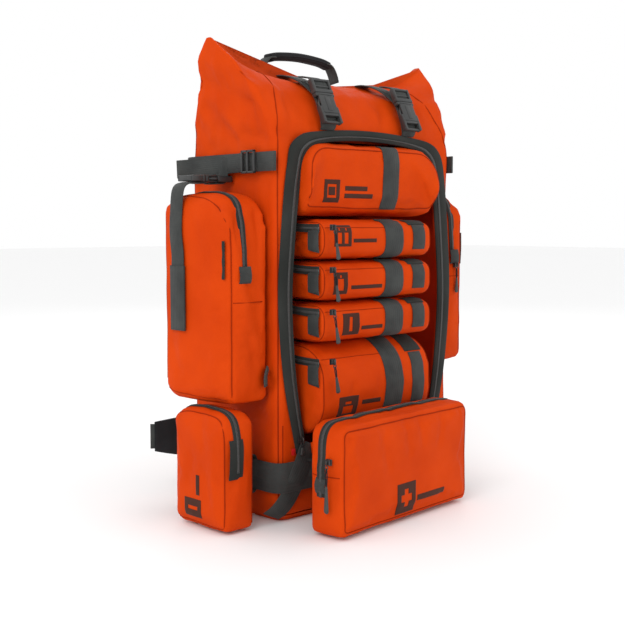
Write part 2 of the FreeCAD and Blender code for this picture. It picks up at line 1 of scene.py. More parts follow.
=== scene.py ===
import math

import bmesh
import bpy
import numpy as np
from mathutils import Matrix, Vector, noise
from mathutils.bvhtree import BVHTree


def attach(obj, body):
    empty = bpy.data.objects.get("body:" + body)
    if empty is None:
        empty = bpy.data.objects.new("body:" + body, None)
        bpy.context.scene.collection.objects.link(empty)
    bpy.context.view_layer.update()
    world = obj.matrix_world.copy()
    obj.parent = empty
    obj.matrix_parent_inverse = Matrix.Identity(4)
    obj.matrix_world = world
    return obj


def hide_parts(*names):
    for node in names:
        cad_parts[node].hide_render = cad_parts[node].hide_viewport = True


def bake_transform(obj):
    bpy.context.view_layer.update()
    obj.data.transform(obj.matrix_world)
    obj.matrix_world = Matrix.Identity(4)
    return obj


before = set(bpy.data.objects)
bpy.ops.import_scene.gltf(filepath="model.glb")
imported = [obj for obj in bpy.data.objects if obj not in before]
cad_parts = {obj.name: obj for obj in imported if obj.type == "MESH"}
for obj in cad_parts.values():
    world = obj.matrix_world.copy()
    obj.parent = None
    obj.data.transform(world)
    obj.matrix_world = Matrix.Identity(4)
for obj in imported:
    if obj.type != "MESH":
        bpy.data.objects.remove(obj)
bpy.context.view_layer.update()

# The looks of an emergency backpack, built round its CAD frame. Metres, +Z up, the opening faces -Y.

MM = 0.001

# The webbing's width and thickness and a stitched seam's radius, in millimetres.
WEBBING = 25
WEBBING_THICK = 1.8
SEAM = 0.8


# ---------------------------------------------------------------- camera, light and stage

def make_stage():
    """A camera at the picture's angle, a pale floor and soft light from the upper left."""
    azimuth, elevation = math.radians(-42.9), math.radians(4.7)
    back = Vector((math.sin(azimuth) * math.cos(elevation), -math.cos(azimuth) * math.cos(elevation),
                   math.sin(elevation)))
    right = Vector((0, 0, 1)).cross(back).normalized()
    up = back.cross(right)
    eye = Vector((-1.0703, -1.1270, 0.3918))
    data = bpy.data.cameras.new("camera")
    data.sensor_width = 36
    data.lens = 61.63
    camera = bpy.data.objects.new("camera", data)
    rotation = Matrix((right, up, back)).transposed().to_4x4()
    camera.matrix_world = Matrix.Translation(eye) @ rotation
    bpy.context.scene.collection.objects.link(camera)
    bpy.context.scene.camera = camera

    floor_size = 30
    bpy.ops.mesh.primitive_plane_add(size=floor_size, location=(0, 0, -0.0005))
    floor = bpy.context.object
    floor.name = "floor"
    paint = bpy.data.materials.new("floor_paint")
    paint.use_nodes = True
    shader = paint.node_tree.nodes["Principled BSDF"]
    shader.inputs["Base Color"].default_value = (0.93, 0.93, 0.93, 1)
    shader.inputs["Roughness"].default_value = 0.9
    floor.data.materials.append(paint)

    def area_light(name, place, target, size, power):
        lamp = bpy.data.lights.new(name, "AREA")
        lamp.size = size
        lamp.energy = power
        light = bpy.data.objects.new(name, lamp)
        light.location = place
        light.rotation_euler = (Vector(target) - Vector(place)).to_track_quat("-Z", "Y").to_euler()
        bpy.context.scene.collection.objects.link(light)

    area_light("key", (-2.6, -1.2, 2.0), (0, 0, 0.3), 1.6, 34)
    area_light("front_fill", (0.9, -2.6, 1.3), (0, 0, 0.3), 2.0, 6)
    area_light("rim", (1.8, 1.8, 2.0), (0, 0, 0.35), 1.5, 10)
    world = bpy.context.scene.world or bpy.data.worlds.new("world")
    bpy.context.scene.world = world
    world.use_nodes = True
    sky = world.node_tree.nodes["Background"]
    sky.inputs["Color"].default_value = (1, 1, 1, 1)
    sky.inputs["Strength"].default_value = 1.0
    bpy.context.scene.view_settings.view_transform = "Standard"


# ---------------------------------------------------------------- materials

class Recipe:
    """A node material with one Principled shader, built up by short calls."""

    def __init__(self, name, roughness, metallic=0.0, sheen=0.0, specular=0.5):
        self.material = bpy.data.materials.new(name)
        self.material.use_nodes = True
        self.tree = self.material.node_tree
        self.shader = self.tree.nodes["Principled BSDF"]
        self.shader.inputs["Roughness"].default_value = roughness
        self.shader.inputs["Metallic"].default_value = metallic
        self.shader.inputs["Sheen Weight"].default_value = sheen
        self.shader.inputs["Specular IOR Level"].default_value = specular
        self.place = self.node("ShaderNodeTexCoord").outputs["Object"]
        self.relief = None

    def node(self, kind, **values):
        made = self.tree.nodes.new(kind)
        for key, value in values.items():
            if hasattr(made, key):
                setattr(made, key, value)
            else:
                made.inputs[key.replace("_", " ")].default_value = value
        return made

    def link(self, source, target):
        self.tree.links.new(source, target)

    def noise(self, scale, detail=3.0):
        made = self.node("ShaderNodeTexNoise", Scale=scale, Detail=detail)
        self.link(self.place, made.inputs["Vector"])
        return made.outputs["Fac"]

    def waves(self, pitch, direction, source=None):
        """Bands a pitch apart, in metres, along X, Y, Z or the diagonal."""
        scale = 2 * math.pi / (20 * pitch)
        made = self.node("ShaderNodeTexWave", Scale=scale, Distortion=0.0)
        made.bands_direction = direction
        self.link(source or self.place, made.inputs["Vector"])
        return made.outputs["Fac"]

    def uv(self):
        return self.node("ShaderNodeTexCoord").outputs["UV"]

    def ramp(self, source, low, high, start=0.0, end=1.0):
        made = self.node("ShaderNodeValToRGB")
        made.color_ramp.elements[0].color = (*low, 1)
        made.color_ramp.elements[1].color = (*high, 1)
        made.color_ramp.elements[0].position = start
        made.color_ramp.elements[1].position = end
        self.link(source, made.inputs["Fac"])
        return made.outputs["Color"]

    def blend(self, kind, factor, first, second):
        made = self.node("ShaderNodeMixRGB")
        made.blend_type = kind
        made.inputs["Fac"].default_value = factor
        self.link(first, made.inputs["Color1"])
        self.link(second, made.inputs["Color2"])
        return made.outputs["Color"]

    def colour(self, source):
        self.link(source, self.shader.inputs["Base Color"])

    def rough(self, source, low, high):
        made = self.node("ShaderNodeMapRange")
        made.inputs["To Min"].default_value = low
        made.inputs["To Max"].default_value = high
        self.link(source, made.inputs["Value"])
        self.link(made.outputs["Result"], self.shader.inputs["Roughness"])

    def bump(self, source, depth, strength=1.0):
        """Adds relief of a depth in metres on top of what is there."""
        made = self.node("ShaderNodeBump", Strength=strength, Distance=depth)
        self.link(source, made.inputs["Height"])
        if self.relief:
            self.link(self.relief, made.inputs["Normal"])
        self.relief = made.outputs["Normal"]
        self.link(self.relief, self.shader.inputs["Normal"])


def woven(name, dark, light, pitch, roughness, sheen=0.0, creases=0.0016):
    """Plain-woven cloth: crossing threads, faint slubs, soft creases and uneven dye."""
    recipe = Recipe(name, roughness, sheen=sheen, specular=0.05)
    across = recipe.waves(pitch, "DIAGONAL")
    along = recipe.waves(pitch, "Z")
    weave = recipe.blend("MULTIPLY", 1.0, across, along)
    dye = recipe.ramp(recipe.noise(14, 5), dark, light, 0.3, 0.72)
    threads = recipe.ramp(weave, (0.88, 0.88, 0.88), (1, 1, 1))
    recipe.colour(recipe.blend("MULTIPLY", 0.7, dye, threads))
    recipe.rough(recipe.noise(60, 2), roughness - 0.06, roughness + 0.08)
    recipe.bump(recipe.noise(26, 2), creases * 2.0, 0.45)
    recipe.bump(recipe.noise(85, 3), creases * 0.5, 0.45)
    recipe.bump(weave, pitch * 0.12, 0.5)
    return recipe.material


def webbing_cloth(name, dark, light):
    """Ribbed webbing. U is the place across the strap from 0 to 1, and V the metres along it."""
    recipe = Recipe(name, 0.72, sheen=0.05, specular=0.25)
    place = recipe.uv()
    picks = recipe.waves(1.5 * MM, "Y", place)
    split = recipe.node("ShaderNodeSeparateXYZ")
    recipe.link(place, split.inputs["Vector"])
    cords = recipe.node("ShaderNodeMath", operation="SINE")
    scaled = recipe.node("ShaderNodeMath", operation="MULTIPLY")
    recipe.link(split.outputs["X"], scaled.inputs[0])
    scaled.inputs[1].default_value = 2 * math.pi * 9
    recipe.link(scaled.outputs["Value"], cords.inputs[0])
    shade = recipe.ramp(recipe.noise(40, 4), dark, light, 0.3, 0.7)
    ribs = recipe.ramp(picks, (0.72, 0.72, 0.72), (1, 1, 1))
    recipe.colour(recipe.blend("MULTIPLY", 0.75, shade, ribs))
    recipe.bump(picks, 0.28 * MM, 0.8)
    recipe.bump(cords.outputs["Value"], 0.12 * MM, 0.6)
    return recipe.material


def moulded(name, dark, light, roughness):
    """Moulded plastic with a fine spark-eroded grain."""
    recipe = Recipe(name, roughness)
    recipe.colour(recipe.ramp(recipe.noise(30, 4), dark, light, 0.35, 0.7))
    recipe.rough(recipe.noise(220, 2), roughness - 0.08, roughness + 0.1)
    recipe.bump(recipe.noise(1400, 1), 0.05 * MM, 0.35)
    return recipe.material


def zip_coil(name):
    """Interlocked coil teeth across the strip."""
    recipe = Recipe(name, 0.5)
    teeth = recipe.waves(1.6 * MM, "Y", recipe.uv())
    recipe.colour(recipe.ramp(teeth, (0.012, 0.012, 0.012), (0.075, 0.075, 0.072)))
    recipe.bump(teeth, 0.5 * MM, 0.9)
    return recipe.material


def spacer_mesh(name):
    """Open 3-D mesh: round holes in a knitted face."""
    recipe = Recipe(name, 0.85, sheen=0.2)
    cells = recipe.node("ShaderNodeTexVoronoi", Scale=330.0)
    recipe.link(recipe.place, cells.inputs["Vector"])
    recipe.colour(recipe.ramp(cells.outputs["Distance"], (0.006, 0.006, 0.006), (0.045, 0.046, 0.048),
                              0.15, 0.5))
    recipe.bump(cells.outputs["Distance"], 0.6 * MM, 0.8)
    return recipe.material


def blackened_metal(name):
    recipe = Recipe(name, 0.38, metallic=0.75)
    recipe.colour(recipe.ramp(recipe.noise(150, 4), (0.02, 0.02, 0.02), (0.09, 0.088, 0.085), 0.3, 0.75))
    recipe.rough(recipe.noise(500, 3), 0.28, 0.5)
    recipe.bump(recipe.noise(900, 2), 0.04 * MM, 0.4)
    return recipe.material


ORANGE = ((0.56, 0.044, 0.0015), (0.66, 0.058, 0.0025))
PAINTS = {
    "orange": (woven("orange_nylon", *ORANGE, 0.9 * MM, 0.62), "orange_nylon"),
    # Painted shade: the bay's inside walls get the same orange nylon made darker, standing in for the shade
    # in the deep compartment.
    "lining": (woven("orange_painted_shade", (0.36, 0.022, 0.004), (0.48, 0.034, 0.006), 0.9 * MM, 0.7),
               "orange_nylon"),
    # Painted shade: the seams are the same orange nylon made darker, standing in for the slight shade along
    # each stitched line.
    "seam": (woven("seam_painted_shade", (0.27, 0.020, 0.002), (0.36, 0.028, 0.003), 0.6 * MM, 0.8), "orange_nylon"),
    "webbing": (webbing_cloth("grey_webbing", (0.030, 0.033, 0.032), (0.052, 0.056, 0.053)), "grey_webbing"),
    "tape": (woven("zip_tape_cloth", (0.024, 0.026, 0.024), (0.040, 0.042, 0.039), 0.7 * MM, 0.8, 0.04),
             "zip_tape"),
    "coil": (zip_coil("zip_coil"), "zip_tape"),
    "plastic": (moulded("black_acetal", (0.020, 0.021, 0.021), (0.036, 0.037, 0.036), 0.42), "black_acetal"),
    "grip": (moulded("pull_grip", (0.026, 0.028, 0.027), (0.045, 0.048, 0.046), 0.6), "zip_pull"),
    "metal": (blackened_metal("zip_metal"), "zip_metal"),
    "mesh": (spacer_mesh("spacer_mesh"), "spacer_mesh"),
    "padded": (woven("padded_black_nylon", (0.014, 0.014, 0.015), (0.026, 0.026, 0.028), 0.8 * MM, 0.75,
                     0.04), "padded_black_nylon"),
    "sheet": (moulded("stiffener_plastic", (0.5, 0.5, 0.48), (0.62, 0.62, 0.6), 0.5), "stiffener_plastic"),
    "mark": (woven("printed_mark", (0.050, 0.020, 0.014), (0.080, 0.030, 0.020), 0.9 * MM, 0.7, 0.05),
             "orange_nylon"),
    "red": (woven("red_tab", (0.45, 0.01, 0.01), (0.6, 0.02, 0.02), 0.6 * MM, 0.7), "grey_webbing"),
}


# ---------------------------------------------------------------- mesh helpers

def add_mesh(name, points, faces, paint):
    """A smooth mesh object in the row frame, with outward faces."""
    mesh = bpy.data.meshes.new(name)
    mesh.from_pydata([tuple(p) for p in points], [], [tuple(f) for f in faces])
    mesh.materials.append(PAINTS[paint][0])
    bm = bmesh.new()
    bm.from_mesh(mesh)
    bmesh.ops.recalc_face_normals(bm, faces=bm.faces)
    bm.to_mesh(mesh)
    bm.free()
    mesh.shade_smooth()
    piece = bpy.data.objects.new(name, mesh)
    bpy.context.scene.collection.objects.link(piece)
    piece["paint"] = paint
    return piece


def settle(piece, body, *replaced):
    """The piece rides on its body, and stands for the CAD nodes named."""
    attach(piece, body)
    if replaced:
        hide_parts(*replaced)
    return piece


def points_of(piece):
    co = np.empty(len(piece.data.vertices) * 3)
    piece.data.vertices.foreach_get("co", co)
    return co.reshape(-1, 3)


def put_points(piece, co):
    piece.data.vertices.foreach_set("co", np.asarray(co, float).ravel())
    piece.data.update()


def bake(piece):
    """Replaces the mesh by its evaluated form, and drops the modifiers."""
    graph = bpy.context.evaluated_depsgraph_get()
    mesh = bpy.data.meshes.new_from_object(piece.evaluated_get(graph))
    piece.modifiers.clear()
    piece.data = mesh
    mesh.shade_smooth()


def join(name, parts):
    """One object out of several, which keep their materials."""
    bpy.ops.object.select_all(action="DESELECT")
    for part in parts:
        part.select_set(True)
    bpy.context.view_layer.objects.active = parts[0]
    bpy.ops.object.join()
    parts[0].name = name
    return parts[0]


def surface(*pieces):
    """A search tree over the pieces' meshes."""
    verts, polys = [], []
    for piece in pieces:
        base = len(verts)
        verts += [v.co.copy() for v in piece.data.vertices]
        polys += [[base + i for i in p.vertices] for p in piece.data.polygons]
    return BVHTree.FromPolygons(verts, polys)


def rounded(corners, radii, step=5 * MM):
    """A closed outline with an arc at each corner, in even steps."""
    count = len(corners)
    dense = []
    for i, (corner, radius) in enumerate(zip(corners, radii)):
        here = Vector(corner)
        to_last = (Vector(corners[i - 1]) - here).normalized()
        to_next = (Vector(corners[(i + 1) % count]) - here).normalized()
        half = to_last.angle(to_next) / 2
        reach = radius / math.tan(half)
        centre = here + (to_last + to_next).normalized() * (radius / math.sin(half))
        start = here + to_last * reach - centre
        turn = math.pi - 2 * half
        spin = 1 if to_last.x * to_next.y - to_last.y * to_next.x < 0 else -1
        for k in range(9):
            angle = spin * turn * k / 8
            dense.append((centre.x + start.x * math.cos(angle) - start.y * math.sin(angle),
                          centre.y + start.x * math.sin(angle) + start.y * math.cos(angle)))
    loop = np.array(dense + dense[:1])
    run = np.concatenate([[0], np.cumsum(np.linalg.norm(np.diff(loop, axis=0), axis=1))])
    marks = np.linspace(0, run[-1], max(12, int(run[-1] / step)), endpoint=False)
    return np.column_stack([np.interp(marks, run, loop[:, k]) for k in (0, 1)])


def box_outline(left, low, right, high, radii, step=5):
    """A rounded rectangle in millimetres, given from one lower corner to the opposite upper one."""
    corners = mm([(left, low), (right, low), (right, high), (left, high)])
    return rounded(corners, [radius * MM for radius in radii], step * MM)


def inset(outline, distance):
    """The outline moved inwards."""
    along = np.roll(outline, -1, 0) - np.roll(outline, 1, 0)
    along /= np.linalg.norm(along, axis=1)[:, None]
    inward = np.column_stack([-along[:, 1], along[:, 0]])
    area = np.sum(outline[:, 0] * np.roll(outline[:, 1], -1) - np.roll(outline[:, 0], -1) * outline[:, 1])
    return outline + inward * distance * (1 if area > 0 else -1)


def to_space(axis, outline, level):
    """Puts a flat outline at a level along X, Y or Z."""
    flat = np.full(len(outline), level)
    columns = {"X": (flat, outline[:, 0], outline[:, 1]), "Y": (outline[:, 0], flat, outline[:, 1]),
               "Z": (outline[:, 0], outline[:, 1], flat)}
    return np.column_stack(columns[axis])


def stuffed_form(name, axis, outline, start, end, edge, paint="orange", step=6 * MM):
    """A closed form: the outline drawn out along an axis, with rounded rims."""
    rings = [(start + edge * (1 - math.cos(math.pi / 2 * k / 4)),
              edge * (1 - math.sin(math.pi / 2 * k / 4))) for k in range(5)]
    middle = max(1, int((end - start - 2 * edge) / step))
    body = [(start + edge + (end - start - 2 * edge) * k / middle, 0.0) for k in range(1, middle)]
    far = [(start + end - place, shrink) for place, shrink in reversed(rings)]
    stations = rings + body + far
    points = np.concatenate([to_space(axis, inset(outline, shrink), place) for place, shrink in stations])
    count = len(outline)
    faces = []
    for ring in range(len(stations) - 1):
        for k in range(count):
            nxt = (k + 1) % count
            faces.append((ring * count + k, ring * count + nxt, (ring + 1) * count + nxt,
                          (ring + 1) * count + k))
    faces.append(tuple(range(count)))
    faces.append(tuple((len(stations) - 1) * count + k for k in range(count)))
    return add_mesh(name, points, faces, paint)


def waver(co, amount, size, seed=0.0):
    """Smooth random offsets, one number for each point."""
    return np.array([noise.noise(Vector(p) / size + Vector((seed, 2 * seed, -seed))) for p in co]) * amount


def normals_of(piece):
    piece.data.update()
    flat = np.empty(len(piece.data.vertices) * 3)
    piece.data.vertices.foreach_get("normal", flat)
    return flat.reshape(-1, 3)


def press(piece, lines, depth, width):
    """Presses grooves along lines of points, or raises ridges where the depth is negative."""
    co = points_of(piece)
    push = np.zeros(len(co))
    for line in lines:
        line = np.array(line, float)
        for a, b in zip(line, line[1:]):
            run = b - a
            t = np.clip(((co - a) @ run) / max(run @ run, 1e-12), 0, 1)
            gap = np.linalg.norm(co - a - t[:, None] * run, axis=1)
            push = np.maximum(push, np.exp(-(gap / width) ** 2))
    put_points(piece, co - normals_of(piece) * (push * depth)[:, None])


def groove(piece, points, depth, width):
    """One pressed line, all in millimetres."""
    press(piece, [mm(points)], depth * MM, width * MM)


def smooth_line(points, step=5 * MM, closed=False):
    """A soft curve through given points (Catmull-Rom), in even steps."""
    pts = [np.array(p, float) for p in points]
    if closed:
        pts = [pts[-1]] + pts + [pts[0], pts[1]]
    else:
        pts = [2 * pts[0] - pts[1]] + pts + [2 * pts[-1] - pts[-2]]
    dense = []
    for a, b, c, d in zip(pts, pts[1:], pts[2:], pts[3:]):
        for t in np.linspace(0, 1, 12, endpoint=False):
            dense.append(0.5 * (2 * b + (c - a) * t + (2 * a - 5 * b
                                                       + 4 * c - d) * t * t + (3 * b - a - 3 * c
                                                                               + d) * t ** 3))
    dense.append(pts[-2])
    dense = np.array(dense)
    if step is None:
        return dense
    run = np.concatenate([[0], np.cumsum(np.linalg.norm(np.diff(dense, axis=0), axis=1))])
    marks = np.linspace(0, run[-1], max(3, int(run[-1] / step) + 1))
    return np.column_stack([np.interp(marks, run, dense[:, k]) for k in range(3)])


def sweep(name, line, sides, section, paint, closed=False):
    """Sweeps a closed section along a line. Section points are (along the side, off the side)."""
    line = np.asarray(line, float)
    sides = np.broadcast_to(np.asarray(sides, float), line.shape)
    if closed:
        along = np.roll(line, -1, 0) - np.roll(line, 1, 0)
    else:
        along = np.gradient(line, axis=0)
    along /= np.linalg.norm(along, axis=1)[:, None]
    side = sides - along * np.sum(sides * along, axis=1)[:, None]
    side /= np.linalg.norm(side, axis=1)[:, None]
    off = np.cross(along, side)
    section = np.asarray(section, float)
    if section.ndim == 2:
        section = np.broadcast_to(section, (len(line), *section.shape))
    points = line[:, None] + side[:, None] * section[..., :1] + off[:, None] * section[..., 1:]
    count = section.shape[1]
    rings = len(line)
    faces = []
    for ring in range(rings if closed else rings - 1):
        for k in range(count):
            nxt = (k + 1) % count
            up = (ring + 1) % rings
            faces.append((ring * count + k, ring * count + nxt, up * count + nxt, up * count + k))
    if not closed:
        faces.append(tuple(range(count)))
        faces.append(tuple((rings - 1) * count + k for k in range(count)))
    piece = add_mesh(name, points.reshape(-1, 3), faces, paint)
    run = np.concatenate([[0], np.cumsum(np.linalg.norm(np.diff(line, axis=0), axis=1))])
    layer = piece.data.uv_layers.new(name="strap")
    width = np.ptp(section[0, :, 0]) or 1.0
    for corner in piece.data.loops:
        ring, k = divmod(corner.vertex_index, count)
        layer.data[corner.index].uv = (section[ring, k, 0] / width + 0.5, run[ring])
    return piece


def flat_section(width, thick):
    """A strap's cross-section, with slightly rounded edges."""
    half, lift = width / 2, thick / 2
    trim = min(lift * 0.8, 0.7 * MM)
    return [(-half, -lift + trim), (-half + trim, -lift), (half - trim, -lift), (half, -lift + trim),
            (half, lift - trim), (half - trim, lift), (-half + trim, lift), (-half, lift - trim)]


def tube_section(radius, count=10):
    return [(radius * math.cos(2 * math.pi * k / count),
             radius * math.sin(2 * math.pi * k / count)) for k in range(count)]


def strap(name, points, side, width=WEBBING, thick=WEBBING_THICK, paint="webbing", step=4):
    """A flat strap through points, all in millimetres. The side vector runs across it."""
    line = smooth_line(mm(points), step * MM)
    return sweep(name, line, side, flat_section(width * MM, thick * MM), paint)


def tube(name, points, radius, paint, closed=False, step=4 * MM):
    line = smooth_line(points, step, closed)
    if closed:
        line = line[:-1]
    first = line[1] - line[0]
    side = np.cross(first, (0.31, 0.52, 0.79))
    return sweep(name, line, side, tube_section(radius), paint, closed)


def seam_on(tree, name, points, radius=SEAM, closed=False, paint="seam"):
    """A thin stitched seam that lies on a surface, through points in millimetres; by default in the darker
    orange of painted shade.
    """
    radius = radius * MM
    line = smooth_line(mm(points), 4 * MM, closed)
    laid = []
    for p in line:
        hit, normal, _, _ = tree.find_nearest(Vector(p))
        laid.append(hit + normal * radius * 0.2)
    laid = np.array([tuple(p) for p in laid])
    keep = [0]
    for i in range(1, len(laid)):
        if np.linalg.norm(laid[i] - laid[keep[-1]]) > 1.5 * MM:
            keep.append(i)
    laid = laid[keep]
    for _ in range(3):
        calm = (np.roll(laid, 1, 0) + 2 * laid + np.roll(laid, -1, 0)) / 4
        if not closed:
            calm[[0, -1]] = laid[[0, -1]]
        laid = calm
    side = np.cross(laid[1] - laid[0], (0.31, 0.52, 0.79))
    return sweep(name, laid, side, tube_section(radius, 6), paint, closed)


def bars(name, boxes, paint, bevel=0.8):
    """One moulded piece made of bevelled bars, each given by its low and high corner in millimetres."""
    parts = []
    for low, high in boxes:
        low, high = (tuple(c * MM for c in corner) for corner in (low, high))
        corners = [(x, y, z) for x in (low[0], high[0]) for y in (low[1], high[1]) for z in (low[2], high[2])]
        faces = [(0, 1, 3, 2), (4, 6, 7, 5), (0, 4, 5, 1), (2, 3, 7, 6), (0, 2, 6, 4), (1, 5, 7, 3)]
        part = add_mesh(name, corners, faces, paint)
        least = min(h - l for l, h in zip(low, high))
        rim = part.modifiers.new("bevel", "BEVEL")
        rim.width = min(bevel * MM, least * 0.4)
        rim.segments = 2
        bake(part)
        parts.append(part)
    made = join(name, parts) if len(parts) > 1 else parts[0]
    made.data.set_sharp_from_angle(angle=math.radians(40))
    return made


def transform(piece, matrix):
    piece.data.transform(matrix)
    piece.data.update()
    return piece


def at(x, y, z):
    """A move to a place in millimetres."""
    return Matrix.Translation(Vector((x, y, z)) * MM)


def turned(degrees, axis):
    return Matrix.Rotation(math.radians(degrees), 4, axis)


def axes_at(place, x_axis, y_axis, z_axis):
    matrix = Matrix((x_axis, y_axis, z_axis)).transposed().to_4x4()
    matrix.translation = place
    return matrix


def mm(points):
    return [tuple(c * MM for c in p) for p in points]


# ---------------------------------------------------------------- main bag

# Height, half width, front, back and corner radius of the bag in millimetres, from its base to its ridge.
BAG_LEVELS = np.array([
    (0, 157, -79, 79, 16), (10, 166, -88, 88, 16), (28, 169.5, -91.5, 91.5, 14),
    (470, 169.5, -91.5, 91.5, 12), (500, 173, -90, 88, 12), (530, 178, -84, 81, 12),
    (575, 189, -60, 62, 11), (600, 198, -33, 41, 9), (611, 203, -11, 22, 6), (616, 204, -2, 12, 4)], float)
# The half width and the front face of the bag's upright part, and the height of its ridge.
SIDE = 169.5
FRONT = -91.5
RIDGE = 616
# How far the ridge's two ends rise and its middle sinks, and half the front bay's width.
EAR_LIFT = 19
RIDGE_SAG = 25
BAY_HALF = 157


def bag_level(height):
    return [np.interp(height, BAG_LEVELS[:, 0], BAG_LEVELS[:, k]) for k in range(1, 5)]


def bag_ring(height, long_count=72, short_count=36, arc=6):
    """One level of the bag: four straight sides with arcs between them."""
    half, front, back, radius = bag_level(height)
    corners = [(-half, front), (half, front), (half, back), (-half, back)]
    arcs = []
    for i, (x, y) in enumerate(corners):
        centre = (x + radius * (1 if x < 0 else -1), y + radius * (1 if i < 2 else -1))
        start = math.pi * (1 + 0.5 * i)
        angles = [start + math.pi / 2 * k / arc for k in range(arc + 1)]
        arcs.append([(centre[0] + radius * math.cos(a), centre[1] + radius * math.sin(a)) for a in angles])
    ring = []
    for i, points in enumerate(arcs):
        ring += points
        last, first = np.array(points[-1]), np.array(arcs[(i + 1) % 4][0])
        count = long_count if i % 2 == 0 else short_count
        ring += [tuple(last + (first - last) * k / count) for k in range(1, count)]
    return ring


# Soft folds of the bag: points along each, its depth and its width. Folds below nought stand out.
FOLDS = [
    ([(-192, 52, 580), (-192, 18, 572), (-189, -14, 560), (-183, -44, 545)], 7, 13),
    ([(-186, 40, 548), (-182, 12, 524), (-178, -10, 500)], 4.5, 9),
    ([(-180, 66, 528), (-176, 44, 496)], 3.5, 9),
    ([(-178, -30, 512), (-174, -66, 502)], 3.5, 7),
    ([(-160, -88, 512), (-128, -88, 500)], 2.5, 7),
    ([(-130, -60, 575), (-112, -78, 548), (-104, -86, 528)], 2.5, 9),
    ([(-40, -50, 588), (-30, -70, 566)], 2.0, 8),
    ([(36, -84, 530), (52, -66, 568)], 2.5, 9),
    ([(120, -84, 530), (126, -60, 572), (118, -36, 596)], 3.0, 10),
    ([(188, -48, 572), (194, -6, 570), (192, 36, 560)], 5, 12),
    ([(182, 40, 540), (176, 6, 500)], 3.5, 9),
    ([(-150, 84, 520), (-60, 80, 540), (40, 82, 528)], 3, 12),
    ([(60, 74, 556), (150, 72, 545)], 3, 10),
    ([(-169, -80, 186), (-169, -50, 160), (-169, -20, 150)], 3, 7),
    ([(-169, -60, 140), (-169, -20, 128), (-169, 30, 140)], 3, 8),
    ([(169, -60, 150), (169, 0, 130), (169, 50, 148)], 3, 8),
    ([(-200, 30, 606), (-196, -6, 600), (-186, -30, 590)], -3, 12),
    ([(-176, 20, 534), (-172, -40, 520)], -2.5, 10),
]


def make_skin():
    """The bag's shell: lofted, crumpled, folded, hollowed and seamed."""
    heights = list(np.arange(0, 28, 4)) + list(np.arange(28, 596, 6)) + list(np.arange(596, RIDGE + 1, 4))
    rings = [bag_ring(h) for h in heights]
    count = len(rings[0])
    co = np.array([(x, y, h) for ring, h in zip(rings, heights) for x, y in ring])
    faces = [(r * count + k, r * count + (k + 1) % count, (r + 1) * count + (k + 1) % count,
              (r + 1) * count + k) for r in range(len(rings) - 1) for k in range(count)]
    top = (len(rings) - 1) * count
    faces.append(tuple(range(count)))
    faces.append(tuple(top + k for k in range(count)))

    # The rolled ridge lifts to a point at each end, and sags in between.
    climb = np.clip((co[:, 2] - 540) / (RIDGE - 540), 0, 1) ** 2
    reach = np.clip((np.abs(co[:, 0]) - 40) / 164, 0, 1)
    co[:, 2] += climb * (EAR_LIFT * reach ** 3 - RIDGE_SAG * (1 - reach ** 3))
    skin = add_mesh("bag_skin", co * MM, faces, "orange")

    upper = np.clip((co[:, 2] - 470) / 60, 0, 1)
    side = np.clip((np.abs(co[:, 0]) - 160) / 10, 0, 1)
    back = np.clip(co[:, 1] / 60, 0, 1)
    depth = np.interp(co[:, 2], BAG_LEVELS[:, 0], BAG_LEVELS[:, 3] - BAG_LEVELS[:, 2])
    loose = (0.25 + 1.9 * upper + 0.9 * side + 0.5 * back) * np.clip((depth - 10) / 90, 0.05, 1)
    push = np.abs(waver(co * (1, 1, 0.7), 1.0, 52, 3)) * 3.0 + np.abs(waver(co, 1.0, 21, 8)) * 1.1
    put_points(skin, points_of(skin) - normals_of(skin) * (push * loose * MM)[:, None])
    for line, depth, width in FOLDS:
        groove(skin, line, depth, width)

    cut_bay(skin)
    tree = surface(skin)
    lines = []
    for s in (-1, 1):
        corner = [(s * (SIDE - 4), FRONT + 4, h) for h in range(14, 470, 24)]
        lines.append(corner + [(s * 167, -90, 482), (s * 162, -84, 525), (s * 150, -58, 564),
                               (s * 139, -20, 602)])
        rear = [(s * (SIDE - 4), -FRONT - 4, h) for h in range(14, 470, 24)]
        lines.append(rear + [(s * 172, 84, 500), (s * 172, 78, 535), (s * 160, 60, 572), (s * 150, 30, 600)])
    seams = [seam_on(tree, "bag_seam", line) for line in lines]
    seams.append(seam_on(tree, "bag_seam", [(x, bag_level(560)[2], 560) for x in range(-160, 161, 30)], 0.6))
    for x in (-161, 161):
        seams.append(seam_on(tree, "bag_seam", [(x, -92, z) for z in range(34, 132, 12)], 0.7))
    settle(join("bag_seams", seams), "root")
    settle(skin, "root", "main_bag")


def arch(foot, side, shoulder, corner, top):
    """The opening's outline in the front plane, from the left foot over the top to the right foot."""
    (x0, z0), (x1, z1), (x2, z2), (x3, z3), (x4, z4), z5 = foot, side, shoulder, corner, top[:2], top[2]
    bow = 0.31
    low = (x0 + (x1 - x0) * (1 - bow) + 0.5, (z0 + z1) / 2)
    high = (x1 + (x2 - x1) * bow, (z1 + z2) / 2)
    left = [(-x0, z0), (-low[0], low[1]), (-x1, z1), (-high[0], high[1]), (-x2, z2), (-x3, z3), (-x4, z4)]
    return left + [(0, z5)] + [(-x, z) for x, z in reversed(left)]


ARCH_INNER = arch((121, 88), (146, 285.5), (131, 452), (117, 488), (80, 502, 507))
ARCH_OUTER = arch((138, 90), (169, 290.5), (154, 464), (140, 500), (90, 514, 519))


def front_at(height):
    return bag_level(height)[1]


def prism(name, outline, axis, start, end, paint):
    """A straight block with the given outline, for cutting."""
    near = to_space(axis, np.array(outline, float), start)
    far = to_space(axis, np.array(outline, float), end)
    count = len(outline)
    faces = [(k, (k + 1) % count, count + (k + 1) % count, count + k) for k in range(count)]
    faces += [tuple(range(count)), tuple(range(count, 2 * count))]
    return add_mesh(name, np.concatenate([near, far]), faces, paint)


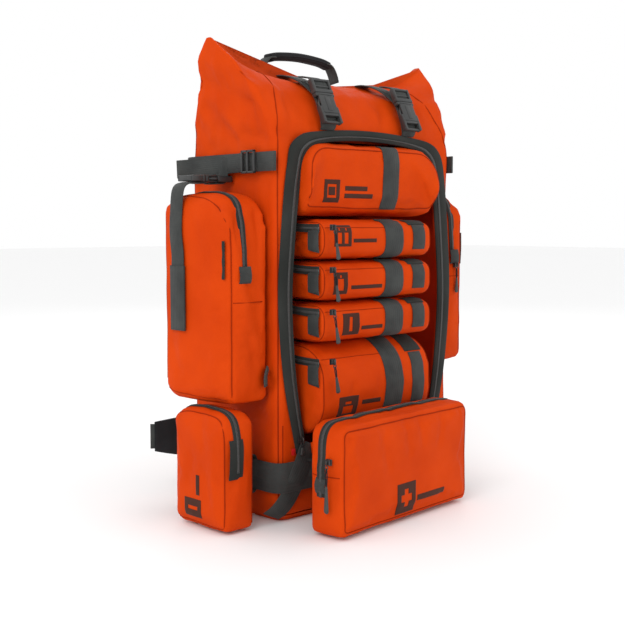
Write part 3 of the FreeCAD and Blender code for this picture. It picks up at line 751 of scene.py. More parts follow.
def cut_bay(skin):
    """Hollows the front compartment and opens the arch, leaving the thin front wall round it."""
    # The bay cutter's paint passes to the hollow's walls as the darker orange of painted shade.
    bay = prism("bay_cutter", mm([(-87, 8), (-87, 466), (-80, 504), (17, 504), (17, 8)]), "X",
                -BAY_HALF * MM, BAY_HALF * MM, "lining")
    line = smooth_line([(x, 0, z) for x, z in ARCH_INNER], 4)
    # The door cutter's seam paint passes to the arch's cut edge as the darker orange of painted shade.
    door = prism("door_cutter", line[:, [0, 2]] * MM, "Y", -0.120, -0.070, "seam")
    for target, tool, operation in ((bay, door, "UNION"), (skin, bay, "DIFFERENCE")):
        carve = target.modifiers.new("carve", "BOOLEAN")
        carve.operation = operation
        carve.solver = "EXACT"
        carve.material_mode = "TRANSFER"
        carve.object = tool
        bake(target)
    skin.data.set_sharp_from_angle(angle=math.radians(50))
    for cutter in (bay, door):
        bpy.data.objects.remove(cutter)


def make_front_band():
    """The wide zip tape round the arch, its coil and the turned inner edge."""
    inner = smooth_line([(x, 0, z) for x, z in ARCH_INNER], None)
    outer = smooth_line([(x, 0, z) for x, z in ARCH_OUTER], None)
    height = inner[:, 2]
    puff = 1.0 + 0.6 * np.sin(height / 23) * np.sin(height / 61)

    def between(share, lift):
        line = inner + (outer - inner) * share
        line[:, 1] = front_at(line[:, 2]) - lift
        return line * MM

    width = np.linalg.norm(outer - inner, axis=1)
    parts = []
    for share, part, lift, paint in ((0.66, 0.68, 1.5, "tape"), (0.14, 0.28, 1.2, "tape"),
                                     (0.30, 0.16, 2.5, "coil")):
        line = between(share, lift)
        line[:, 1] -= puff * (0.5 if paint == "tape" else 0.4) * MM
        section = np.array([flat_section(w * part * MM, 1.6 * MM) for w in width])
        parts.append(sweep("front_zip_" + paint, line, (outer - inner), section, paint))
    rim = between(0.0, 0.2)
    parts.append(sweep("front_zip_rim", rim, (outer - inner), tube_section(1.7 * MM, 8), "tape"))
    edge = between(1.0, 1.6)
    parts.append(sweep("front_zip_edge", edge, (outer - inner), tube_section(0.8 * MM, 6), "tape"))
    settle(join("front_zip_band", parts), "root", "front_zip_tape")

    # The unzipped front panel is rolled down and tucked in at the foot of the opening.
    spine = smooth_line(mm([(-117, -101, 96), (-90, -103, 99), (-30, -103, 97), (40, -104, 99),
                            (117, -102, 96)]), 4 * MM)
    sections = []
    for k in range(len(spine)):
        wrap = []
        for a in np.linspace(0, 2 * math.pi, 28, endpoint=False):
            swell = 8.4 + 0.9 * math.sin(3 * a + k * 0.35) + 0.8 * noise.noise(Vector((k * 0.25, a, 5)))
            wrap.append((swell * MM * math.cos(a), swell * MM * math.sin(a)))
        sections.append(wrap)
    roll = sweep("rolled_panel", spine, (0, 0, 1), np.array(sections), "orange")
    settle(roll, "root", "rolled_front_panel")


# ---------------------------------------------------------------- stuffed pieces

VOXEL = 5 * MM
SWELL_FRAMES = 20


def soften(jobs):
    """Swells the pieces as cloth, all stepped together, then limits how far each point moved."""
    starts = {}
    for piece, cap, held in jobs:
        remesh = piece.modifiers.new("remesh", "REMESH")
        remesh.mode = "VOXEL"
        remesh.voxel_size = VOXEL
        bake(piece)
        piece.data.materials.clear()
        piece.data.materials.append(PAINTS[piece["paint"]][0])
        starts[piece.name] = points_of(piece)
        grip = piece.vertex_groups.new(name="held")
        fixed = [int(i) for i in np.flatnonzero(held(starts[piece.name] / MM))]
        grip.add(fixed, 1.0, "REPLACE")
        cloth = piece.modifiers.new("cloth", "CLOTH")
        cloth.settings.quality = 4
        cloth.settings.mass = 0.15
        cloth.settings.use_pressure = True
        cloth.settings.uniform_pressure_force = 4.0
        cloth.settings.shrink_min = -0.01
        cloth.settings.tension_stiffness = 15
        cloth.settings.compression_stiffness = 12
        cloth.settings.bending_stiffness = 0.3
        cloth.settings.vertex_group_mass = "held"
        cloth.settings.effector_weights.gravity = 0
        cloth.collision_settings.use_collision = False
        cloth.point_cache.frame_end = SWELL_FRAMES
    scene = bpy.context.scene
    for step in range(1, SWELL_FRAMES + 1):
        scene.frame_set(step)
    for piece, cap, held in jobs:
        bake(piece)
        start = starts[piece.name]
        co = points_of(piece)
        move = co - start
        far = np.linalg.norm(move, axis=1)
        move *= np.minimum(1, cap / np.maximum(far, 1e-9))[:, None]
        outward = np.sum((start - start.mean(axis=0)) * move, axis=1) > 0
        move *= np.where(outward, 1.0, 0.3)[:, None]
        laid = start + move
        laid[:, 2] = np.maximum(laid[:, 2], 0.0008)
        put_points(piece, laid)
        piece.vertex_groups.clear()
        finer = piece.modifiers.new("finer", "SUBSURF")
        finer.levels = 1
        finer.render_levels = 1
        bake(piece)
    scene.frame_set(1)


def round_over(piece, axes, corner, radius):
    """Rounds one long corner of a form: two axes, the corner's place and the radius, in metres."""
    co = points_of(piece)
    flat = co[:, axes].copy()
    middle = flat.mean(axis=0)
    inward = np.sign(middle - np.array(corner))
    centre = np.array(corner) + inward * radius
    off = (centre - flat) * inward
    inside = (off > 0).all(axis=1)
    square = off.max(axis=1)
    long = np.linalg.norm(off, axis=1)
    share = np.where(long > 1e-9, square / np.maximum(long, 1e-9), 1)
    moved = centre - inward * off * share[:, None]
    flat[inside] = moved[inside]
    co[:, axes] = flat
    put_points(piece, co)


def crumple(piece, amount, size, seed):
    """Fine uneven dents, pressed inwards only."""
    co = points_of(piece)
    push = np.abs(waver(co, 1.0, size, seed)) + 0.5 * np.abs(waver(co, 1.0, size * 0.45, seed + 4))
    put_points(piece, co - normals_of(piece) * (push * amount)[:, None])


def around(tree, centre, start, end, lift, count=30, forward=(0, -1, 0)):
    """Points over a pouch, in millimetres: rays come in to the centre, between two angles above the front."""
    centre = Vector(centre) * MM
    line = []
    for angle in np.linspace(math.radians(start), math.radians(end), count):
        out = Vector(forward) * math.cos(angle) + Vector((0, 0, math.sin(angle)))
        hit = tree.ray_cast(centre + out * 0.3, -out)[0]
        if hit is not None:
            line.append(tuple((hit + out * lift * MM) / MM))
    return line


def zip_over(name, tree, centre, start, end, count, width, forward=(0, -1, 0)):
    """A zip that runs over a pouch, and its line in metres."""
    line = smooth_line(mm(around(tree, centre, start, end, 0.5, count, forward)), 4 * MM)
    flat = np.abs(forward) + np.array((0, 0, 1))
    return zip_line(name, line, width, (line - np.array(centre) * MM) * flat), line


def mark(name, tree, origin, right, up, down_ray, size, body, bar=None, cells=()):
    """A printed square with a simple sign left open in it, and a plain bar beside it."""
    origin, right, up = Vector(origin) * MM, Vector(right), Vector(up)
    ray = Vector(down_ray)
    step = 1.2 * MM

    def sheet_of(x0, x1, y0, y1, skip):
        across = max(2, int((x1 - x0) * MM / step))
        high = max(2, int((y1 - y0) * MM / step))
        points, index, faces = [], {}, []
        for j in range(high + 1):
            for i in range(across + 1):
                x, y = x0 + (x1 - x0) * i / across, y0 + (y1 - y0) * j / high
                spot = origin + right * x * MM + up * y * MM
                hit = tree.ray_cast(spot - ray * 0.1, ray)[0]
                index[i, j] = len(points)
                points.append((hit if hit is not None else spot) - ray * 0.45 * MM)
        for j in range(high):
            for i in range(across):
                u, v = (i + 0.5) / across, (j + 0.5) / high
                if not any(a <= u <= b and c <= v <= d for a, b, c, d in skip):
                    faces.append((index[i, j], index[i + 1, j], index[i + 1, j + 1], index[i, j + 1]))
        piece = add_mesh(name, points, faces, "mark")
        if piece.data.polygons[0].normal.dot(ray) > 0:
            piece.data.flip_normals()
        skin = piece.modifiers.new("thick", "SOLIDIFY")
        skin.thickness = 0.3 * MM
        bake(piece)
        return piece

    parts = [sheet_of(0, size[0], 0, size[1], cells)]
    if bar:
        left, low, right_end, high = bar
        parts.append(sheet_of(left, right_end, low, high, ()))
    return settle(join(name, parts), body)


# ---------------------------------------------------------------- zips and buckles

def slider_form(name):
    """A zip slider: two plates, the post and the bridge. It stands 6 mm off the tape, towards -Y."""
    plates = bars(name,
                  [((-4.5, -1.6, 0), (4.5, 0, 8)), ((-4.2, -4.2, 0.4), (4.2, -2.8, 7.6)),
                   ((-1.6, -3, 4.5), (1.6, -1, 8)), ((-1.2, -5.2, 5.8), (1.2, -3.8, 7.4)),
                   ((-1.2, -5.2, 0.8), (1.2, -3.8, 2.2))], "metal", 0.7)
    bridge = tube(name, mm([(0, -5.0, 1.2), (0, -6.0, 2.6), (0, -6.0, 5.2), (0, -5.0, 6.8)]), 0.9 * MM,
                  "metal", step=1 * MM)
    return join(name, [plates, bridge])


def pull_form(name, long):
    """A ring, a doubled cord and a tapered moulded grip, which hang from the origin."""
    ring = tube(name,
                mm([(2.2 * math.sin(a), -1.2, -1.2 + 2.4 * math.cos(a)) for a in np.arange(0, 6.2,
                                                                                           0.785)]),
                0.7 * MM, "metal", closed=True, step=1 * MM)
    neck = 0.40 * long
    cords = [tube(name,
                  mm([(s * 0.4, -1.2, -2), (s * 1.3, -1.4, -neck * 0.5), (s * 0.6, -1.4, -neck - 2)]),
                  0.75 * MM, "padded", step=2 * MM) for s in (-1, 1)]
    spine = smooth_line(mm([(0, -1.4, -neck), (0, -1.5, -(neck + long) / 2), (0, -1.4, -long)]), 1 * MM)
    sections = []
    last = len(spine) - 1
    for k in range(last + 1):
        t = k / last
        cap = math.sqrt(max(0.02, 1 - max(0, (t - 0.88) / 0.12) ** 2)) * min(1, 0.55 + t * 6)
        rib = 1 + 0.10 * math.sin(t * 44) * (0.25 < t < 0.75)
        half, deep = (1.9 + 2.3 * t ** 1.3) * cap * MM, (1.2 + 0.35 * t) * cap * rib * MM
        sections.append([(half * math.cos(a), deep * math.sin(a)) for a in np.linspace(0, 2 * math.pi, 14,
                                                                                       endpoint=False)])
    grip = sweep(name, spine, (1, 0, 0), np.array(sections), "grip")
    return join(name, [grip, ring] + cords)


def hang_slider(name, place, long, body):
    """A slider with its pull as one piece, on a body and for a node of the same name."""
    pull = transform(pull_form(name + "_pull", long), place @ at(0, -2.5, 1))
    slider = transform(slider_form(name + "_form"), place)
    settle(join(name, [slider, pull]), body, body)


# The socket's length, how far the plug's head stands out of it, and the thickness of both.
SOCKET_LONG = 44
PLUG_LONG = 22
BUCKLE_THICK = 9


def buckle_forms(name, strap_width):
    """A side-release buckle. Locally the plug is on +Z of the socket, and -Y faces outwards."""
    half = (strap_width + 8) / 2
    t = BUCKLE_THICK
    mouth = 20
    socket = bars(name + "_socket", [
        ((-half + 3, -t, -30), (half - 3, -t + 2.2, 0)), ((-half + 3, -2.2, -30), (half - 3, 0, 0)),
        ((-half, -t + 0.4, -5), (-half + 3.6, -0.4, 0)), ((half - 3.6, -t + 0.4, -5), (half, -0.4, 0)),
        ((-half, -t + 0.4, -SOCKET_LONG), (-half + 4, -0.4, -mouth)),
        ((half - 4, -t + 0.4, -SOCKET_LONG), (half, -0.4, -mouth)),
        ((-half + 1, -t + 0.8, -34), (half - 1, -0.6, -29)),
        ((-half + 1, -t + 2.5, -SOCKET_LONG), (half - 1, -1.5, -SOCKET_LONG + 3)),
        ((-4, -t - 0.6, -27), (4, -t + 0.5, -6)),
        ((-half + 5, -t - 0.5, -3.4), (half - 5, -t + 0.5, -1)),
    ], "plastic", 1.1)
    shapes = [
        ((-half, -t, 0.4), (half, 0, 6)), ((-half, -t + 0.6, 4), (-half + 4, -0.6, PLUG_LONG)),
        ((half - 4, -t + 0.6, 4), (half, -0.6, PLUG_LONG)),
        ((-half + 1, -t + 1.5, 9.5), (half - 1, -2.5, 12)),
        ((-half + 1, -t + 0.8, 18.4), (half - 1, -1, PLUG_LONG)),
        ((-3.4, -t + 3, -21), (3.4, -3, 1)),
    ]
    plug = bars(name + "_plug", shapes, "plastic", 1.1)
    arms = []
    for s in (-1, 1):
        line = mm([(s * (half - 6.5), -t / 2, 1), (s * (half - 6), -t / 2, -8),
                   (s * (half - 2.8), -t / 2, -15), (s * (half - 2.4), -t / 2, -20),
                   (s * (half - 6), -t / 2, -26.5)])
        arms.append(sweep(name + "_arm", smooth_line(line, 1.5 * MM), (0, 1, 0),
                          flat_section(3.6 * MM, 3.0 * MM), "plastic"))
    web = strap(name + "_web", [(0, -4.2, 5), (0, -5.6, 9), (0, -5.6, 16), (0, -4.2, 21)], (1, 0, 0),
                strap_width - 1)
    return socket, join(name + "_plug", [plug] + arms + [web])


def zip_line(name, points, width, out, coil=True):
    """A zip: a woven tape along a line of points, with the coil on its middle."""
    points = np.array(points, float)
    along = np.gradient(points, axis=0)
    out = np.broadcast_to(np.asarray(out, float), points.shape)
    side = np.cross(along, out)
    parts = [sweep(name, points, side, flat_section(width * MM, 0.9 * MM), "tape")]
    if coil:
        lift = out / np.linalg.norm(out, axis=1)[:, None] * 0.9 * MM
        parts.append(sweep(name, points + lift, side, flat_section(width * 0.34 * MM, 1.5 * MM), "coil"))
    return join(name, parts)


# ---------------------------------------------------------------- pouches in the front bay

INNER_LEFT, INNER_RIGHT, INNER_FRONT, INNER_BACK = -120, 98, -126, 14
# The zipped pouches: the heights of base and top, and the radius of the nose.
ZIPPED = {"tools_pouch": (236, 288, 18), "electronics_pouch": (291, 343, 18),
          "hygiene_pouch": (346, 398, 18), "cook_pouch": (109, 233, 50)}
# For each pouch: the printed square's left edge and its height above the pouch's base, its size, the bar
# beside it, and the parts of the square left open, as shares of its width and height.
SIGNS = {
    "hygiene_pouch": (-97, 17, (32, 28), (36, 5, 80, 10),
                      ((0.2, 0.42, 0.15, 0.66), (0.58, 0.8, 0.15, 0.66),
                       (0.26, 0.36, 0.73, 0.85), (0.64, 0.74, 0.73, 0.85))),
    "electronics_pouch": (-98, 9, (26, 29), (33, 6, 92, 11),
                          ((0.3, 0.7, 0.15, 0.7), (0.42, 0.58, 0.76, 0.86))),
    "tools_pouch": (-81, 9, (31, 29), (35, 6, 76, 11), ((0.4, 0.6, 0.15, 0.85),)),
    "cook_pouch": (-88, 24, (36, 30), (44, 16, 80, 22), ((0.22, 0.78, 0.2, 0.55), (0.34, 0.66, 0.66, 0.76))),
}


def start_inner_pouches():
    """The four zipped pouches and the top one, a little smaller than they end up."""
    forms = {}
    for name, (bottom, top, nose) in ZIPPED.items():
        outline = inset(box_outline(INNER_BACK, bottom, INNER_FRONT + 1, top, (4, nose, nose, 4)), 2 * MM)
        forms[name] = stuffed_form(name, "X", outline, (INNER_LEFT + 1) * MM, (INNER_RIGHT - 1) * MM, 5 * MM)
    outline = inset(box_outline(-131, 404, 124, 500, (8, 8, 36, 36)), 1.5 * MM)
    extra = stuffed_form("extra_storage_pouch", "Y", outline, -0.117, 0.012, 8 * MM)
    co = points_of(extra)
    front = np.clip((-co[:, 1] - 0.02) / 0.097, 0, 1)
    lower = np.clip((0.441 - co[:, 2]) / 0.037, 0, 1)
    upper = np.clip((co[:, 2] - 0.446) / 0.042, 0, 1)
    co[:, 1] += front * (0.024 * lower ** 1.2 + 0.012 * upper ** 1.5)
    put_points(extra, co)
    forms["extra_storage_pouch"] = extra
    return forms


def finish_inner_pouches(forms):
    """Seams, bands, zip, sign, slider and pull of each zipped pouch."""
    for number, (name, (bottom, top, nose)) in enumerate(ZIPPED.items()):
        body = "root" if name == "cook_pouch" else name
        pouch = forms[name]
        middle = (bottom + top) / 2
        crumple(pouch, 1.2 * MM, 0.036, 11 + number)
        profile = box_outline(10, bottom, INNER_FRONT + 1, top, (3, nose, nose, 3), 4)
        rim = to_space("X", profile, (INNER_LEFT + 4) * MM)
        far_rim = to_space("X", profile, (INNER_RIGHT - 4) * MM)
        press(pouch, [rim, far_rim], 1.0 * MM, 3.0 * MM)
        for shift, depth in ((-70, 2.2), (-20, 1.6), (30, 1.8)):
            low = middle - (top - bottom) * 0.35
            groove(pouch, [(shift, -128, low), (shift + 9, -128, low + (top - bottom) * 0.4)], depth, 6)
        tree = surface(pouch)
        seams = [seam_on(tree, name + "_seam", r[:-1] / MM) for r in (rim, far_rim)]
        line = [(x, -122, top - 9) for x in range(-112, 44, 12)]
        seams.append(seam_on(tree, name + "_seam", line, 0.5))
        settle(join(name + "_seams", seams), body)

        parts = []
        nose_y = INNER_FRONT + nose + 14
        lap = around(tree, (18, nose_y, middle), 82, -80, 0.7)
        parts.append(strap(name + "_band", lap, (1, 0, 0), 36, 1.2, step=3))
        cap = around(tree, (68, nose_y, middle), 84, 40, 0.6, 16)
        parts.append(strap(name + "_end_tape", cap, (1, 0, 0), 34, 1.0, "tape", 3))
        tab = around(tree, (68, nose_y, middle), 38, -28, 1.0, 12)
        parts.append(strap(name + "_end_tab", tab, (1, 0, 0), 25, 1.6, step=3))
        level = top - (20 if name == "cook_pouch" else 9)
        zipper = [(-121.0, y, level + 2 * math.sin((y + 60) / 30)) for y in range(-58, -120, -6)]
        parts.append(zip_line(name + "_zip", mm(zipper), 11, (-1, 0, 0)))
        drop = [(-121.6, -108, level - 4), (-123.5, -109, level - 12), (-123.2, -109, level - 26),
                (-121.2, -108, level - 32)]
        parts.append(strap(name + "_stop", drop, (0, 1, 0), 20, step=3))
        settle(join(name + "_webbing", parts), body, name + "_trim")
        start, lift, size, bar, cells = SIGNS[name]
        mark(name + "_sign", tree, (start, -127, bottom + lift), (1, 0, 0), (0, 0, 1), (0, 1, 0), size,
             body, bar, cells)
        settle(pouch, body, name)

        zip_top = top - 10 if name == "cook_pouch" else top
        spot = Vector((-106, -126.4, zip_top - 14)) * MM
        slider = transform(slider_form(name + "_zip_slider"), Matrix.Translation(spot))
        settle(slider, name + "_slider", name + "_slider")
        hang = at(-106, -130.9, zip_top - 14.5) @ turned(-10, "Y")
        settle(transform(pull_form(name + "_zip_pull", 38), hang), name + "_pull", name + "_pull")


def finish_extra_pouch(extra):
    """The top pouch: no zip shows, only its band, its sign and two bars."""
    name = "extra_storage_pouch"
    crumple(extra, 1.4 * MM, 0.04, 21)
    press(extra, [mm([(-60, -119, 470), (-40, -119, 440)]), mm([(0, -119, 480), (12, -119, 452)])],
          2 * MM, 7 * MM)
    groove(extra, [(56, -112, 412), (88, -108, 416)], 3, 5)
    tree = surface(extra)
    outline = box_outline(-130, 405, 123, 499, (8, 8, 36, 36), 4)
    front_rim = to_space("Y", inset(outline, 2.5 * MM), -0.112)
    seams = [seam_on(tree, name + "_seam", front_rim[:-1] / MM)]
    settle(join(name + "_seams", seams), name)
    lap = around(tree, (28, -84, 442), 84, -66, 0.8)
    settle(strap(name + "_band", lap, (1, 0, 0), 32, 1.2, step=3), name, name + "_trim")
    mark(name + "_sign", tree, (-99, -119, 421), (1, 0, 0), (0, 0, 1), (0, 1, 0), (29, 30), name,
         (38, 6, 92, 12), ((0.2, 0.8, 0.2, 0.3), (0.2, 0.8, 0.7, 0.8), (0.2, 0.3, 0.2, 0.8),
                           (0.7, 0.8, 0.2, 0.8)))
    mark(name + "_line", tree, (-60, -119, 437), (1, 0, 0), (0, 0, 1), (0, 1, 0), (42, 6), name)
    settle(extra, name, name)


# ---------------------------------------------------------------- side pockets

# For each pocket: the side it is on, its front and back, and the heights of its base and top.
POCKETS = {"left_pocket": (-1, -79, 41, 163, 433), "right_pocket": (1, -64, 48, 183, 441)}
# How far the outer face leans in at the front.
POCKET_TAPER = 18
# Across a pocket: where it meets the bag, its middle line with zip and buckle, and its outer face.
POCKET_INNER, POCKET_MIDDLE, POCKET_OUTER = 173.5, 214, 255.5
BUCKLE_Y = 12


def start_pockets():
    """The two side pockets, a little smaller than they end up."""
    forms = {}
    for name, (side, front, back, bottom, top) in POCKETS.items():
        inner, outer = side * POCKET_INNER, side * POCKET_OUTER
        outline = inset(box_outline(inner, bottom, outer, top, (8, 14, 26, 12)), 1 * MM)
        form = stuffed_form(name, "Y", outline, (front + 1.5) * MM, (back - 1.5) * MM, 5 * MM)
        # The outer face leans in towards the front, where the gusset is narrower.
        co = points_of(form)
        forward = np.clip((20 * MM - co[:, 1]) / ((20 - front) * MM), 0, 1)
        outward = np.clip((np.abs(co[:, 0]) / MM - POCKET_INNER) / (POCKET_OUTER - POCKET_INNER), 0, 1)
        co[:, 0] -= side * POCKET_TAPER * MM * forward * outward
        put_points(form, co)
        round_over(form, [1, 2], (front * MM, top * MM), 46 * MM)
        round_over(form, [1, 2], (back * MM, top * MM), 26 * MM)
        round_over(form, [1, 2], (back * MM, bottom * MM), 20 * MM)
        forms[name] = form
    return forms


def on_face(tree, side, y, heights, lift):
    """Points just off a side pocket's outer face, one above the other."""
    places = []
    for z in heights:
        hit = tree.ray_cast(Vector((side * 300, y, z)) * MM, Vector((-side, 0, 0)))[0]
        places.append((hit.x / MM + side * lift, y, z))
    return places


def sewn_edges(name):
    """Where the swelling is held: against the bag, and along the outer face's upright sewn edges."""
    _, front, back, _, _ = POCKETS[name]

    def held(co):
        fore = (np.abs(co[:, 0]) > 248 - POCKET_TAPER) & (co[:, 1] < front + 6)
        aft = (np.abs(co[:, 0]) > 248) & (co[:, 1] > back - 6)
        return (np.abs(co[:, 0]) < 177) | fore | aft
    return held


def finish_pockets(forms):
    """Folds, seams, zip, straps and slider of each side pocket."""
    for name, (side, front, back, bottom, top) in POCKETS.items():
        pocket = forms[name]
        face = side * 258
        crumple(pocket, 1.3 * MM, 0.06, 31 + side)
        for y, z, run, lean, depth in ((-30, top - 60, 60, 14, 3.0), (-50, bottom + 110, 70, -10, 2.6),
                                       (6, bottom + 40, 60, 16, 2.4), (-62, bottom + 30, 50, 8, 2.0)):
            groove(pocket, [(face, y, z), (face, y + lean, z + run * 0.5)], depth, 9)
        for x, z in ((side * 200, top - 120), (side * 232, bottom + 96), (side * 196, bottom + 50)):
            groove(pocket, [(x, front - 4, z), (x + side * 10, front - 4, z + 34)], 2.0, 7)
        edge_x = side * 251
        fore_x = side * (251 - POCKET_TAPER)
        seam_line = [(edge_x, back - 8, bottom + 14), (fore_x, front + 14, bottom + 6),
                     (fore_x, front + 3, bottom + 26), (fore_x, front + 1, bottom + 90),
                     (fore_x, front + 1, bottom + 160), (fore_x, front + 4, top - 60),
                     (fore_x - side * 2, front + 18, top - 30),
                     (edge_x - side * 16, front + 50, top - 12),
                     (edge_x - side * 16, back - 16, top - 12)]
        press(pocket, [smooth_line(mm(seam_line), 6 * MM)], 1.4 * MM, 3 * MM)
        tree = surface(pocket)
        seams = [seam_on(tree, name + "_seam", seam_line)]
        cross = [(side * x, front - 2, bottom + 130) for x in range(184, 234, 7)]
        seams.append(seam_on(tree, name + "_seam", cross, 0.6))
        back_seam = [(edge_x, back - 3, z) for z in range(bottom + 26, top - 20, 20)]
        seams.append(seam_on(tree, name + "_seam", back_seam))
        settle(join(name + "_seams", seams), name)

        # The zip runs up the front gusset, over the domed top and down the back.
        centre = (side * POCKET_MIDDLE, (front + back) / 2, (top + bottom) / 2 + 40)
        zipper, line = zip_over(name + "_zip", tree, centre, -5, 185, 60, 12)
        parts = [zipper]
        low = line[0][2] / MM
        tab_line = [(side * POCKET_MIDDLE, front - 1.5, low + 6),
                    (side * POCKET_MIDDLE, front - 3.4, low - 4),
                    (side * POCKET_MIDDLE, front - 3.0, low - 12),
                    (side * POCKET_MIDDLE, front - 1.2, low - 15)]
        parts.append(strap(name + "_zip_tab", tab_line, (1, 0, 0), 19, 2.0, step=3))
        drop = [(side * 213, BUCKLE_Y, top + 13), (side * 236, BUCKLE_Y, top + 13),
                (side * 249, BUCKLE_Y, top + 5)]
        drop += on_face(tree, side, 9, (top - 24, top - 52), 1.2) + on_face(tree, side, 5,
                                                                            (top - 80, bottom + 170), 1.2)
        parts.append(strap(name + "_hang", drop, (0, 1, 0), 26))
        sewn = on_face(tree, side, 5, (bottom + 176, bottom + 130, bottom + 92), 1.6)
        parts.append(strap(name + "_sewn", sewn, (0, 1, 0), 30, 3.0))
        foot = [(side * 176, front - 0.5, bottom + 44), (side * 181, front - 2.2, bottom + 33),
                (side * 181, front - 2.2, bottom + 20)]
        parts.append(strap(name + "_foot_tab", foot, (side * 0.8, -0.6, 0), 14, 2.2))
        settle(join(name + "_straps", parts), name, name + "_webbing")
        settle(pocket, name, name)

        label = strap(name + "_label",
                      on_face(tree, side, front + 12, (top - 62, top - 86, top - 110), 0.4),
                      (-side * 0.18, 1, 0), 11, 0.8, "tape")
        settle(label, name)

        turn = 180 if side < 0 else 0
        spot_y = (back + 1.6) if side < 0 else (front - 1.6)
        height = 352 if side < 0 else 326
        place = at(side * 216, spot_y, height) @ turned(turn, "Z")
        hang_slider(name + "_zip_slider", place, 40, name + "_slider")


# ---------------------------------------------------------------- belt and its pouches

def start_belt_pouches():
    outline = inset(box_outline(-258, 2, -205, 156, (8, 8, 12, 14)), 1 * MM)
    belt = stuffed_form("belt_pouch", "Y", outline, -0.0885, 0.0165, 5 * MM)
    round_over(belt, [1, 2], (-90 * MM, 157 * MM), 24 * MM)
    round_over(belt, [1, 2], (18 * MM, 157 * MM), 20 * MM)
    round_over(belt, [1, 2], (18 * MM, 1 * MM), 14 * MM)
    outline = inset(box_outline(-140, 2, 140, 147, (10, 10, 20, 22)), 1 * MM)
    aid = stuffed_form("first_aid_pouch", "Y", outline, -0.026, 0.026, 4 * MM)
    return {"belt_pouch": belt, "first_aid_pouch": aid}


AID_PLACE = (at(-27.5, -193.5, 0) @ turned(5.5, "Z") @ at(0, 27, 0))


def finish_aid_pouch(aid):
    """Worked in the pouch's own axes, then turned into place."""
    crumple(aid, 1.1 * MM, 0.06, 51)
    panel = box_outline(-133, 9, 135, 138, (5, 5, 5, 5))
    rim = to_space("Y", panel, -0.029)
    far_rim = to_space("Y", panel, 0.029)
    press(aid, [np.vstack([rim, rim[:1]])], 1.6 * MM, 3 * MM)
    for x, z, run, lean in ((-10, 128, -34, 6), (22, 130, -26, 4), (-60, 122, -40, 10), (70, 126, -30, -6)):
        groove(aid, [(x, -28, z), (x + lean, -28, z + run)], 2.2, 7)
    groove(aid, [(-142, -22, 82), (-142, 22, 82)], 1.2, 4)
    tree = surface(aid)
    seams = [seam_on(tree, "aid_seam", rim / MM, closed=True),
             seam_on(tree, "aid_seam", far_rim / MM, closed=True),
             seam_on(tree, "aid_seam", [(-142, y, 80) for y in range(-24, 25, 6)], 0.6)]
    parts = [zip_over("aid_zip", tree, (0, 4, 95), -16, 184, 90, 13, (-1, 0, 0))[0]]
    tab = [(-142.2, 4, 78), (-145.4, 4, 70), (-144.6, 4, 62), (-142, 4, 58)]
    parts.append(strap("aid_zip_tab", tab, (0, 1, 0), 17, step=3))
    # Short webbing ends and the puller tab at the far end.
    for z, reach, wide in ((120, 7, 9), (108, 10, 12)):
        end = [(139, 12, z), (139 + reach * 0.6, 14, z + 1), (139 + reach, 15, z - 5)]
        parts.append(strap("aid_end", end, (0, 0.5, 1), wide, 2, step=2))
    sign = mark("first_aid_sign", tree, (-31, -28, 13), (1, 0, 0), (0, 0, 1), (0, 1, 0), (40, 41),
                "first_aid_pouch", (44, 12, 106, 20), ((0.2, 0.8, 0.39, 0.61), (0.39, 0.61, 0.2, 0.8)))
    orange_tab = bars("aid_side_tab", [((139.5, 6, 66), (144, 18, 84))], "orange", 1.2)
    seams_piece = join("first_aid_seams", seams)
    trim = join("first_aid_trim", parts)
    for piece in (aid, seams_piece, trim, sign, orange_tab):
        transform(piece, AID_PLACE)

    # Two loops behind it hold it to the belt.
    loops = []
    for x, reach in ((-70, -142.0), (50, -130.6)):
        loop = [(x, reach, 88), (x, -118, 88), (x, -96.5, 86), (x, -94.8, 62), (x, -96.5, 40),
                (x, -118, 37), (x, reach, 37)]
        loops.append(strap("aid_loop", loop, (1, 0, 0), 25, 1.4))
    trim = join("first_aid_trim", [trim] + loops)
    settle(aid, "first_aid_pouch", "first_aid_pouch")
    settle(seams_piece, "first_aid_pouch")
    settle(orange_tab, "first_aid_pouch")
    settle(trim, "first_aid_pouch", "first_aid_pouch_trim")

    turn = AID_PLACE @ at(-142.8, -10, 96) @ turned(-90, "Z")
    settle(transform(slider_form("aid_slider"), turn), "first_aid_pouch_slider", "first_aid_pouch_slider")
    hang = turn @ at(0, -4.6, -1)
    settle(transform(pull_form("aid_pull", 59), hang), "first_aid_pouch_pull", "first_aid_pouch_pull")


